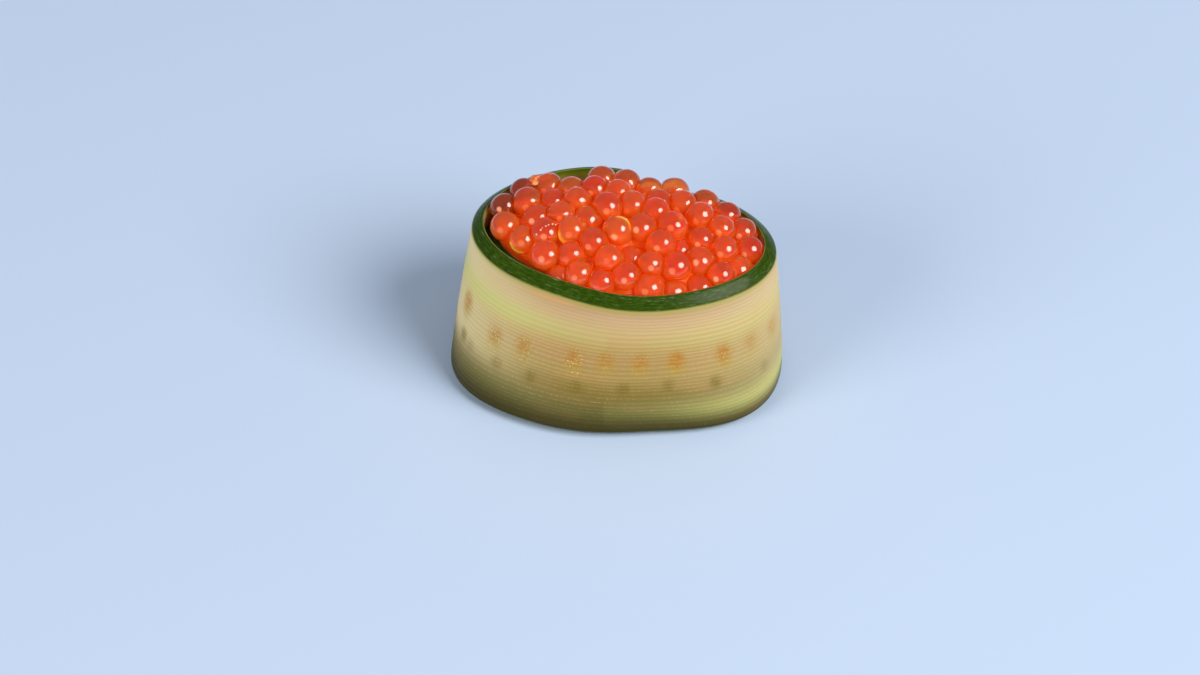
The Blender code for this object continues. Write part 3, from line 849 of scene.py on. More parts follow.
@dataclass(frozen=True)
class RoeFinish:
    """Salmon eggs, salted and wet: a clear skin over orange-red oil that light goes through.

    The low index of the oil against the juice leaves the eggs' far sides in sight; the coat is
    the wet skin, which gives the white lights and pale edges.
    """

    deep: str = "#E0480A"
    bright: str = "#F48A24"
    rim_light: str = "#FFA84C"
    # What lies over the oil's colour, from the lowest layer up: its mask and its colour.
    # The rim light, shade, glow and crescent layers are painted light and shade.
    layers: tuple = (("egg_edge", "#FFA84C"), ("egg_clearness", "#B4541A"),
                     ("egg_shade", "#3A2E0E"), ("egg_glow", "#FFB294"), ("egg_crescent", "#FFD848"))
    spot_edge: float = 0.966
    spot_heart: float = 0.992
    clouds_per_metre: float = 420.0
    cloud_strength: float = 0.5
    ior: float = 1.16
    roughness: float = 0.05
    see_through: float = 0.77
    clear_see_through: float = 0.85

    def material(self) -> bpy.types.Material:
        """Build the material of the eggs.

        Each egg carries a tone of its own from 0, deep red, to 1, bright orange, how clear it
        is, and where its painted rim light, its painted shade and its painted crescent of gathered
        light lie. Its painted light spot is drawn from its middle and the way that the spot lies,
        so it stays crisp.

        Returns:
            The finish.
        """
        material, tree = new_material("salmon_roe_wet")
        share = {name: add_node(tree, "Attribute", {"attribute_name": name}, out="Fac")
                 for name in ("egg_tone", *dict(self.layers))}
        middle, spot_way = (add_node(tree, "Attribute", {"attribute_name": name}, out="Vector")
                            for name in ("egg_middle", "egg_spot_way"))
        place = add_node(tree, "TexCoord", out="Object")
        outward = add_node(tree, "VectorMath", {"operation": "SUBTRACT"}, {0: place, 1: middle})
        straight = add_node(tree, "VectorMath", {"operation": "NORMALIZE"}, {0: outward})
        cosine = add_node(tree, "VectorMath", {"operation": "DOT_PRODUCT"},
                          {0: straight, 1: spot_way})
        spot = add_node(tree, "MapRange", {"From Min": self.spot_edge,
                                           "From Max": self.spot_heart}, {"Value": cosine})
        share["egg_glow"] = add_node(tree, "Math", {"operation": "MULTIPLY"},
                                     {0: spot, 1: share["egg_glow"]})
        cloud = add_node(tree, "TexNoise", {"Scale": self.clouds_per_metre, "Detail": 2.0},
                         {"Vector": place})
        drift = add_node(tree, "Math", {"operation": "MULTIPLY_ADD", 1: self.cloud_strength,
                                        2: -0.5 * self.cloud_strength}, {0: cloud})
        tone = add_node(tree, "Math", {"operation": "ADD", "use_clamp": True},
                        {0: drift, 1: share["egg_tone"]})
        colour = add_node(tree, "Mix", {"data_type": "RGBA", "A": self.deep, "B": self.bright},
                          {"Factor": tone})
        for name, code in self.layers:
            colour = add_node(tree, "Mix", {"data_type": "RGBA", "B": code},
                              {"Factor": share[name], "A": colour})
        passed = add_node(tree, "MapRange", {"To Min": self.see_through,
                                             "To Max": self.clear_see_through},
                          {"Value": share["egg_clearness"]})
        blocked = add_node(tree, "Math", {"operation": "MAXIMUM"},
                           {0: share["egg_glow"], 1: share["egg_crescent"]})
        clear = add_node(tree, "Math", {"operation": "SUBTRACT", "use_clamp": True},
                         {0: passed, 1: blocked})
        close_material(tree, add_node(
            tree, "BsdfPrincipled",
            {"IOR": self.ior, "Roughness": self.roughness, "Coat Weight": 1.0,
             "Coat Roughness": 0.03, "Coat IOR": 1.7, "Sheen Weight": 0.25,
             "Sheen Roughness": 0.25, "Sheen Tint": self.rim_light, **OIL_LIGHT},
            {"Base Color": colour, "Transmission Weight": clear}))
        return material


@dataclass(frozen=True)
class CloudedFinish:
    """Finish of one tone, or of two that drift into each other in soft clouds.

    Clouds are a noise's grains per metre, its detail and the range over which the tones change.
    Relief is a noise's grains per metre, its detail, and the strength and depth of its bumps.
    """

    name: str
    tones: tuple
    shader: dict[str, Any]
    clouds: tuple | None = None
    relief: tuple | None = None

    def material(self) -> bpy.types.Material:
        """Build the material.

        Returns:
            The finish.
        """
        material, tree = new_material(self.name)
        settings, links = {"Base Color": self.tones[0], **self.shader}, {}
        if self.clouds:
            scale, detail, low, high = self.clouds
            place = add_node(tree, "TexCoord", out="Object")
            noise = add_node(tree, "TexNoise", {"Scale": scale, "Detail": detail}, {"Vector": place})
            share = add_node(tree, "MapRange", {"From Min": low, "From Max": high}, {"Value": noise})
            tones = {"data_type": "RGBA", "A": self.tones[0], "B": self.tones[1]}
            links["Base Color"] = add_node(tree, "Mix", tones, {"Factor": share})
        if self.relief:
            scale, detail, strength, depth = self.relief
            place = add_node(tree, "TexCoord", out="Object")
            noise = add_node(tree, "TexNoise", {"Scale": scale, "Detail": detail}, {"Vector": place})
            links["Normal"] = add_node(tree, "Bump", {"Strength": strength, "Distance": depth},
                                       {"Height": noise})
        close_material(tree, add_node(tree, "BsdfPrincipled", settings, links))
        return material


# Juice of the roe, which fills the hollows between the eggs: smooth, and as red as they are.
JUICE = CloudedFinish("salmon_roe_juice", ("#DE460A", "#F06A18"),
                      {"Roughness": 0.2, "IOR": 1.2, **OIL_LIGHT}, (260.0, 2.0, 0.0, 1.0))
# Short-grain rice, boiled and pressed: soft white, a little clear at the grains' edges.
RICE = CloudedFinish("short_grain_rice_boiled", ("#EFE9D8", "#FBF8EF"),
                     {"Roughness": 0.34, "IOR": 1.4, "Subsurface Weight": 0.5,
                      "Subsurface Scale": 1.2 * MM, "Subsurface Radius": (1.0, 0.9, 0.75)},
                     (500.0, 3.0, 0.0, 1.0), (2500.0, 2.0, 0.2, 0.05 * MM))
# Dried scrap of the roe's own skin: pale orange, crumpled, with its high spots painted paler as
# highlights.
MEMBRANE = CloudedFinish("roe_membrane", ("#D9601F", "#F2A873"),
                         {"Roughness": 0.3, "Subsurface Weight": 0.3,
                          "Subsurface Scale": 0.6 * MM},
                         (1400.0, 4.0, 0.35, 0.65), (1400.0, 4.0, 0.7, 0.15 * MM))
# Air bubbles in the juice: small beads painted pale, a painted highlight for the light they catch, each
# with a hard white light from the coat.
BUBBLE = CloudedFinish("air_bubble_in_juice", ("#FFD2B4",),
                       {"Roughness": 0.1, "Coat Weight": 1.0, "Coat Roughness": 0.02})
# Matt seamless background paper, pale blue.
PAPER = CloudedFinish("background_paper", ("#C0D6F4",), {"Roughness": 0.9})


# ---------------------------------------------------------------------------------------------
# Pieces
# ---------------------------------------------------------------------------------------------


@dataclass(frozen=True)
class SeedMark:
    """Place where the cut passes by a seed: angle in degrees, height in mm, and how strong."""

    angle: float
    height: float
    strength: float
    # Strength of its painted highlight specks, glints on wet cells.
    glints: float = 0.0


@dataclass(frozen=True)
class Sweep:
    """Grid of the ribbon's points: steps along it, in a column, by rows round its section."""

    step: Array
    angle: Array
    along: Array
    height: Array


@dataclass
class CucumberRibbon:
    """The slice of cucumber: the route's section swept in a fine grid, with knife ribs."""

    route: Route = Route()
    finish: CucumberFinish = CucumberFinish()
    # Spacing of the grid's points along the ribbon, and round it on the face, skin and inside.
    sweep_spacing: float = 0.85 * MM
    face_spacing: float = 0.155 * MM
    skin_spacing: float = 0.2 * MM
    inner_spacing: float = 0.7 * MM
    section_sample: float = 0.05 * MM
    side_samples: int = 400
    corner_rounding: float = 0.17 * MM
    sharp_angle: float = math.radians(50)
    # The inner face starts at this share of the thickness. It is fine where it is near skin.
    inner_from: float = 0.9
    near_skin: float = 0.02
    # How far skin and rind spread past the skin's edge, in roundings of the corner. Rind is
    # seen from a share of the height upwards, over an ease.
    skin_spread: float = 0.7
    rind_spread: float = 3.2
    rind_strength: float = 2.2
    rind_ease: tuple = (0.3, 0.4)
    rib_pitch: float = 0.92 * MM
    rib_relief: float = 0.034 * MM
    rib_sharpness: float = 0.25
    # How the ribs wander, in turns: over a height, from a phase, and over a length and height.
    rib_wander: tuple = (0.30, 7.3 * MM, 1.0)
    rib_sway: tuple = (0.16, 47.0 * MM, 4.0 * MM)
    # The ribs run out over this share of the face's height at its edges. Their crests are painted
    # lighter, a painted highlight, which ends at a share of it, over an ease.
    rib_end: float = 0.03
    crest_ease: tuple = (0.85, 0.2)
    crest_light: float = 0.3
    crest_power: int = 3
    # The grooves are painted darker: painted shade, and partly the wetter flesh in them, besides their
    # real relief.
    groove_shade_strength: float = 0.16
    # The ribs are fainter near the rim, most at the left end and not at all at the right.
    faint_from: float = 20.0 * MM
    faint_rise: float = 6.0 * MM
    faintness: float = 0.55
    # How far the green reaches down the inner face, at the back and at the oval's ends.
    inner_green_back: float = 5.5 * MM
    inner_green_ends: float = 1.1 * MM
    # Half width and half height of a seed mark, of the orange heart in its upper part, of a
    # faint trace and of the blush, and how far a mark hangs below its place.
    mark_size: tuple = (1.6 * MM, 2.9 * MM)
    heart_size: tuple = (1.45 * MM, 1.9 * MM)
    trace_size: tuple = (1.1 * MM, 1.6 * MM)
    blush_size: tuple = (6.0 * MM, 1.0 * MM)
    mark_drop: float = 0.8 * MM
    mark_power: float = 1.6
    # A blush of orange just under the rim.
    blush: SeedMark = SeedMark(-116, 30.6, 0.55)
    # The row of seed marks above the middle of the face, then the fainter row below it.
    marks: tuple = (
        SeedMark(-141, 17.4, 0.55, 1.0), SeedMark(-127, 18.1, 0.6, 0.8),
        SeedMark(-100, 18.6, 0.8, 1.0), SeedMark(-83, 19.3, 0.6, 0.25),
        SeedMark(-65, 19.2, 0.75, 0.3), SeedMark(-47.5, 19.3, 1.0),
        SeedMark(-28, 19.1, 0.85, 0.35), SeedMark(-17, 19.6, 0.35),
        SeedMark(-5, 18.7, 0.5, 0.35),
    )
    traces: tuple = (
        SeedMark(-152, 11.5, 0.3), SeedMark(-138, 11.7, 0.5, 0.4), SeedMark(-121.5, 11.7, 0.6),
        SeedMark(-98, 12.1, 0.6), SeedMark(-73, 12.5, 0.75), SeedMark(-51, 13.2, 0.55),
        SeedMark(-32, 12.5, 0.7, 0.2), SeedMark(-12, 11.2, 0.3),
    )
    # Marks at the back: angles in degrees, heights in mm, how far they stray from both and
    # how strong they are; then how far on the lower row's are, and their share of the strength.
    hidden_angles: tuple = (12.0, 200.0, 17.0)
    hidden_heights: tuple = (18.9, 12.0)
    hidden_shift: float = 3.0
    hidden_lift: float = 0.5
    hidden_strength: tuple = (0.4, 0.9)
    trace_shift: float = 6.0
    trace_share: float = 0.8
    hidden_seed: int = 3
    # Bands where the flesh is greener: height and half height in mm, then the strength at the
    # right end and at the left end. They are faint in the middle of the oval's long sides.
    green_bands: tuple = ((24.0, 2.7, 0.4, 0.85), (6.2, 2.8, 0.65, 0.3))
    green_between: float = 0.3
    ends_turn: float = math.radians(-8)
    # The flesh is paler at both ends, partly its own colour and partly painted light, most at the left
    # end: how much at the right and at the left.
    paleness: tuple = (0.45, 1.0)
    pale_from: float = 3.2 * MM
    pale_tilt: float = 3.0 * MM
    pale_rise: float = 8.0 * MM
    # The foot is in shade: how high up, half way round and how much more at the left end.
    shade_reach: float = 10.5 * MM
    shade_tilt: float = 4.5 * MM
    shade_ease: float = 0.85
    shade_strength: float = 0.86

    def section(self) -> dict[str, Array]:
        """Closed section of the ribbon, from the foot of the outer face up and round.

        The outer face and inner face are upright. Between them the skin is a slope that rises
        by skin_height (1 - share)^rounding. The corners are rounded by smoothing the closed
        line, and it is then sampled finely on the ribbed face and coarsely inside.

        Returns:
            depth, height, skin (1 on skin), rind (1 next to it), inner (1 on the inner face)
            and face (1 on the outer face).
        """
        route, oval = self.route, self.route.oval
        top, skin, thick = oval.height, oval.skin_height, route.thickness
        up = np.linspace(0.0, 1.0, self.side_samples)
        down, level = up[::-1], 0.0 * up
        # Depth, height, whether it is skin and whether it is the outer face, of each side.
        sides = (
            (level, skin + (top - 2.0 * skin) * up, 0.0, 1.0),
            (thick * up, top - skin * (1.0 - up) ** route.skin_rounding, 1.0, 0.0),
            (thick + level, top * down, 0.0, 0.0),
            (thick * (1.0 - (1.0 - route.foot_share) * up), level, 1.0, 0.0),
            (thick * route.foot_share * down, skin * up ** route.skin_rounding, 1.0, 0.0),
        )
        line = np.concatenate([np.stack(np.broadcast_arrays(*side), axis=-1) for side in sides])
        length = travelled(line[:, :2])
        even = np.arange(0.0, length[-1], self.section_sample)
        line = np.stack([np.interp(even, length, values) for values in line.T], axis=-1)
        spread = self.corner_rounding / self.section_sample
        shape = blurred(line, spread)
        near = blurred(line[:, 2], self.rind_spread * spread)
        edge = np.clip(blurred(line[:, 2], self.skin_spread * spread), 0.0, 1.0)
        upper = smoothstep((line[:, 1] / top - self.rind_ease[0]) / self.rind_ease[1])
        inner = (shape[:, 0] > self.inner_from * thick) & (line[:, 2] < 0.5)
        spacing = np.where(line[:, 3] > 0.5, self.face_spacing, self.skin_spacing)
        spacing = np.where(inner & (near <= self.near_skin), self.inner_spacing, spacing)
        wanted = np.cumsum(self.section_sample / spacing)
        rows = np.interp(np.arange(0.0, wanted[-1], 1.0), wanted, np.arange(len(wanted)))
        pick = np.round(rows).astype(int)
        rind = np.clip(self.rind_strength * near, 0.0, 1.0) * (1.0 - edge) * upper
        whole = {"depth": shape[:, 0], "height": shape[:, 1], "skin": edge, "rind": rind,
                 "inner": inner.astype(float), "face": line[:, 3]}
        return {name: values[pick] for name, values in whole.items()}

    def swept(self, section: dict[str, Array]) -> Sweep:
        """Lay out the grid: evenly spaced steps along the route by the section's rows.

        The section's upper part is lowered where the ribbon's upper edge comes down.

        Args:
            section: the section.

        Returns:
            The grid.
        """
        route, oval = self.route, self.route.oval
        rough = np.arange(4 * route.last_step + 1) / 4.0
        half_way_up = np.full(len(rough), 0.5 * oval.height)
        middle = oval.wall(route.angle(rough), half_way_up, route.depth(rough))
        length = travelled(middle[:, :2])
        along = np.linspace(0.0, length[-1], int(length[-1] / self.sweep_spacing))
        step = np.interp(along, length, rough)[:, None]
        drop = (oval.height - route.top(step)) * np.clip(self.rise(section), 0.0, 1.0)
        return Sweep(step, route.angle(step), along[:, None], section["height"] - drop)

    def rise(self, section: dict[str, Array]) -> Array:
        """How far up the outer face each row of the section lies: 0 at its foot, 1 at its top."""
        oval = self.route.oval
        return (section["height"] - oval.skin_height) / (oval.height - 2.0 * oval.skin_height)

    def ribs(self, grid: Sweep) -> Array:
        """Height of the knife ribs, from -1 in a groove to 1 on a ridge.

        A cosine of the height over the pitch, whose phase wanders slowly along the ribbon and
        up it, so that the ribs draw together and apart, with a weaker one of half the pitch.
        They lose height in an ease up towards the rim that goes with sin(angle / 2).

        Args:
            grid: the swept grid.

        Returns:
            The ribs at each point of the grid.
        """
        wander, wander_height, wander_start = self.rib_wander
        sway, sway_length, sway_height = self.rib_sway
        phase = grid.height / self.rib_pitch
        phase = phase + wander * np.sin(TURN * grid.height / wander_height + wander_start)
        phase = phase + sway * np.sin(TURN * grid.along / sway_length + grid.height / sway_height)
        profile = np.cos(TURN * phase) + self.rib_sharpness * np.cos(2.0 * TURN * phase)
        faint = self.faintness * np.sqrt(0.5 - 0.5 * np.cos(grid.angle))
        return profile * (1.0 - faint * smoothstep((grid.height - self.faint_from) / self.faint_rise))

    def all_marks(self) -> tuple[list[SeedMark], list[SeedMark]]:
        """Add marks at the back, in the same two rows, to those that are listed.

        Returns:
            The marks of the upper row and of the lower row.
        """
        draw = np.random.default_rng(self.hidden_seed)
        marks, traces = list(self.marks), list(self.traces)
        upper, lower = self.hidden_heights
        for angle in np.arange(*self.hidden_angles):
            shift = draw.uniform(-self.hidden_shift, self.hidden_shift, 2)
            lift = draw.uniform(-self.hidden_lift, self.hidden_lift, 2)
            strength = draw.uniform(*self.hidden_strength, 2)
            marks.append(SeedMark(angle + shift[0], upper + lift[0], strength[0]))
            traces.append(SeedMark(angle + self.trace_shift + shift[1], lower + lift[1],
                                   self.trace_share * strength[1]))
        return marks, traces

    def spots(self, grid: Sweep, marks: list[SeedMark], size: tuple,
              drop: float = 0.0) -> tuple[Array, Array]:
        """Soft ovals round the seed marks.

        Each is exp(-(d^2)^power), with d the distance from its middle over its half width and
        half height.

        Args:
            grid: the swept grid.
            marks: the marks.
            size: half width along the ribbon and half height.
            drop: how far the ovals hang below the marks' places.

        Returns:
            The strength of the marks and of their painted highlight specks at each point of the grid.
        """
        strength, glint_share = np.zeros_like(grid.height), np.zeros_like(grid.height)
        for mark in marks:
            angle = math.radians(mark.angle)
            angle += TURN if angle < grid.angle[0, 0] else 0.0
            middle = np.interp(angle, grid.angle[:, 0], grid.along[:, 0])
            across = (grid.along - middle) / size[0]
            up = (grid.height + drop - mark.height * MM) / size[1]
            oval = np.exp(-((across ** 2 + up ** 2) ** self.mark_power))
            strength = np.maximum(strength, mark.strength * oval)
            glint_share = np.maximum(glint_share, mark.glints * oval)
        return strength, glint_share

    def pale_end(self, grid: Sweep) -> Array:
        """How pale the flesh is at each point of the grid, partly its own paleness at the ends and
        partly painted light.

        The fourth power of the angle's cosine, times the paleness of the right or left end,
        eased in over the lower part of the height, which is taller at the left end.

        Args:
            grid: the swept grid.

        Returns:
            Shares from 0 to 1.
        """
        right, left = self.paleness
        cosine = np.cos(grid.angle + self.ends_turn)
        start = self.pale_from - self.pale_tilt * np.cos(grid.angle)
        share = np.where(cosine > 0.0, right, left) * cosine ** 4
        return share * smoothstep((grid.height - start) / self.pale_rise)

    def foot_shade(self, grid: Sweep) -> Array:
        """How dark the foot is: an ease down to the table, over a reach that goes with the angle."""
        reach = self.shade_reach - self.shade_tilt * np.cos(grid.angle) ** 3
        return self.shade_strength * smoothstep((reach - grid.height) / (self.shade_ease * reach))

    def inner_green(self, grid: Sweep, below_top: Array) -> Array:
        """How green the inner face is: an ease up to its top edge, longer at the back."""
        more = (self.inner_green_back - self.inner_green_ends) * np.clip(np.sin(grid.angle), 0.0, 1.0)
        return smoothstep(1.0 - below_top / (self.inner_green_ends + more))

    def green(self, grid: Sweep) -> Array:
        """How green the flesh is at each point of the grid.

        A bell curve of the height for each band, times a share that goes with the square of
        the angle's cosine.

        Args:
            grid: the swept grid.

        Returns:
            Shares from 0 to 1.
        """
        cosine = np.cos(grid.angle + self.ends_turn)
        ends = self.green_between + (1.0 - self.green_between) * cosine ** 2
        total = np.zeros_like(grid.height)
        for middle, half, right, left in self.green_bands:
            bell = np.exp(-(((grid.height / MM - middle) / half) ** 2))
            total = np.maximum(total, np.where(cosine > 0.0, right, left) * bell * ends)
        return total

    def masks(self, grid: Sweep, section: dict[str, Array], ribs: Array,
              ribbed: Array) -> dict[str, Array]:
        """Work out how far each point of the grid is skin, rind, seed mark and so on.

        Args:
            grid: the swept grid.
            section: the section.
            ribs: height of the ribs.
            ribbed: 1 in the rows that have ribs.

        Returns:
            The finish's masks by name.
        """
        outside = np.where(grid.step < self.route.oval.steps_per_turn, 1.0, 0.0) * ribbed
        marks, traces = self.all_marks()
        mark, mark_glints = self.spots(grid, marks, self.mark_size, self.mark_drop)
        trace, trace_glints = self.spots(grid, traces, self.trace_size)
        limit, ease = self.crest_ease
        crest = np.clip(ribs, 0.0, 1.0) ** self.crest_power
        crest = crest * smoothstep((limit - self.rise(section)) / ease)
        below_top = self.route.oval.height - section["height"]
        masks = {
            "skin": section["skin"],
            "rind": section["rind"],
            "inner_rind": section["inner"] * self.inner_green(grid, below_top),
            "rib_groove": self.groove_shade_strength * np.clip(-ribs, 0.0, 1.0) * ribbed,
            "rib_crest": self.crest_light * crest * outside,
            "pale_end": self.pale_end(grid),
            "green_band": self.green(grid),
            "orange_tint": self.spots(grid, [self.blush], self.blush_size)[0] * outside,
            "foot_shade": self.foot_shade(grid) * (1.0 - section["inner"]),
            "seed_mark": mark * outside,
            "seed_core": self.spots(grid, marks, self.heart_size)[0] * outside,
            "seed_trace": trace * outside,
            "seed_glint": np.maximum(mark_glints, trace_glints) * outside,
        }
        return {name: np.broadcast_to(mask, grid.height.shape) for name, mask in masks.items()}

    def build(self) -> bpy.types.Object:
        """Sweep the section along the route and dress it.

        Returns:
            The ribbon.
        """
        section = self.section()
        grid = self.swept(section)
        rise, ribs = self.rise(section), self.ribs(grid)
        ribbed = section["face"] * smoothstep(rise / self.rib_end)
        ribbed = ribbed * smoothstep((1.0 - rise) / self.rib_end)
        depth = self.route.depth(grid.step) + section["depth"] - self.rib_relief * ribs * ribbed
        points = self.route.oval.wall(grid.angle, grid.height, depth)
        flat, faces = stacked(list(points))
        place_mm = np.stack(np.broadcast_arrays(grid.along, grid.height, section["depth"]),
                            axis=-1) / MM
        piece = mesh_piece(
            "cucumber_ribbon", flat, [face[::-1] for face in faces], self.finish.material(),
            {"ribbon_mm": place_mm, **self.masks(grid, section, ribs, ribbed)},
        )
        piece.data.set_sharp_from_angle(angle=self.sharp_angle)
        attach(piece, BODY)
        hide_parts("cucumber_wrap")
        return piece


@dataclass
class RicePad:
    """The rice: a smooth pad, with whole grains pressed flat against the table below it."""

    route: Route = Route()
    finish: CloudedFinish = RICE
    top: float = 24.0 * MM
    crown: float = 1.5 * MM
    underside: float = 0.7 * MM
    # Rings up the wall, rings over the crown from one share of the way out to another, and the
    # shares of the rings underneath.
    wall_rings: int = 8
    crown_rings: int = 8
    crown_shares: tuple = (0.9, 0.02)
    below_shares: tuple = (0.02, 0.5)
    # The grains' grid, as rows and columns on each side of the middle, and the rings and
    # segments of each grain.
    grid_reach: tuple = (6, 8)
    grain_mesh: tuple = (9, 16)
    grain_length: float = 6.0 * MM
    grain_width: float = 3.0 * MM
    grain_depth: float = 2.6 * MM
    grain_taper: float = 0.18
    grain_sizes: tuple = (0.9, 1.08)
    grain_spacing: float = 4.7 * MM
    grain_shift: float = 0.2
    grain_height: float = 0.85 * MM
    edge_margin: float = 1.9 * MM
    turn_margin: float = 3.6 * MM
    seed: int = 5

    def pad(self) -> tuple[Array, Faces]:
        """Stack rings from the underside to the crown, drawn in to a point at both ends.

        Returns:
            Points and faces.
        """
        gap = self.route.gap
        heights = np.linspace(self.underside, self.top - self.crown, self.wall_rings)
        walls = [self.route.well_ring(height, gap) for height in heights]
        below = [drawn_in(walls[0], share) for share in self.below_shares]
        shares = np.linspace(*self.crown_shares, self.crown_rings)
        return stacked(below + walls + dome(walls[-1], shares, self.top, self.crown))

    def grain_places(self) -> list[tuple[float, float, float, float]]:
        """Places of the grains: a jittered hexagonal grid, as in the CAD source.

        The grain in the middle isn't shifted, and those near the wall lie along it.

        Returns:
            x, y, heading and size of each grain.
        """
        draw = np.random.default_rng(self.seed)
        ring = self.route.well_ring(0.0, self.route.gap)
        reach = np.hypot(ring[:, 0], ring[:, 1])
        ring_angle = np.unwrap(np.arctan2(ring[:, 1], ring[:, 0]))
        along = np.roll(ring, -1, axis=0) - np.roll(ring, 1, axis=0)
        rows, columns = self.grid_reach
        places = []
        for row in range(-rows, rows + 1):
            for column in range(-columns, columns + 1):
                loose = min(1.0, abs(row) + abs(column))
                shift = draw.uniform(-self.grain_shift, self.grain_shift, 2) * self.grain_spacing * loose
                heading = draw.uniform(0.0, math.pi)
                size = draw.uniform(*self.grain_sizes)
                x = (column + 0.5 * (row % 2)) * self.grain_spacing + shift[0]
                y = row * self.grain_spacing * math.sqrt(3.0) / 2.0 + shift[1]
                room = np.interp(math.atan2(y, x), ring_angle, reach, period=TURN) - math.hypot(x, y)
                if room < self.turn_margin:
                    nearest = np.argmin(np.hypot(ring[:, 0] - x, ring[:, 1] - y))
                    heading = math.atan2(along[nearest, 1], along[nearest, 0])
                if room > self.edge_margin:
                    places.append((x, y, heading, size))
        return places

    def build(self) -> bpy.types.Object:
        """Put the pad and its grains into one piece.

        A grain is an ellipsoid whose belly is a little fuller than its ends. What would reach
        below the table is held at z = 0, as a pressed grain is.

        Returns:
            The rice.
        """
        sphere, sphere_faces = unit_sphere(*self.grain_mesh)
        parts = [self.pad()]
        for x, y, heading, size in self.grain_places():
            grain = sphere[:, [2, 0, 1]].copy()
            grain[:, 1:] *= (1.0 - self.grain_taper * grain[:, :1] ** 2)
            grain *= 0.5 * np.array([self.grain_length * size, self.grain_width * size,
                                     self.grain_depth])
            cos, sin = math.cos(heading), math.sin(heading)
            turned = np.stack([grain[:, 0] * cos - grain[:, 1] * sin + x,
                               grain[:, 0] * sin + grain[:, 1] * cos + y,
                               np.maximum(grain[:, 2] + self.grain_height, 0.0)], axis=-1)
            parts.append((turned, sphere_faces))
        piece = mesh_piece("rice_pad", *joined(parts), self.finish.material())
        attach(piece, BODY)
        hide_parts("rice")
        return piece


@dataclass(frozen=True)
class Cap:
    """Part of a ball round one direction: the cosine at its edge, its ease and its strength.

    With an ease below zero it is the part away from that direction.
    """

    edge: float
    ease: float
    strength: float = 1.0

    def share(self, cosine: Array) -> Array:
        """Strength times the ease of a cosine past the edge."""
        return self.strength * smoothstep((cosine - self.edge) / self.ease)


@dataclass(frozen=True)
class Glint:
    """An egg with a painted crescent of light: its centre in mm, and which way its light gathers."""

    egg: tuple
    towards: tuple = (-0.41, -0.89, -0.09)


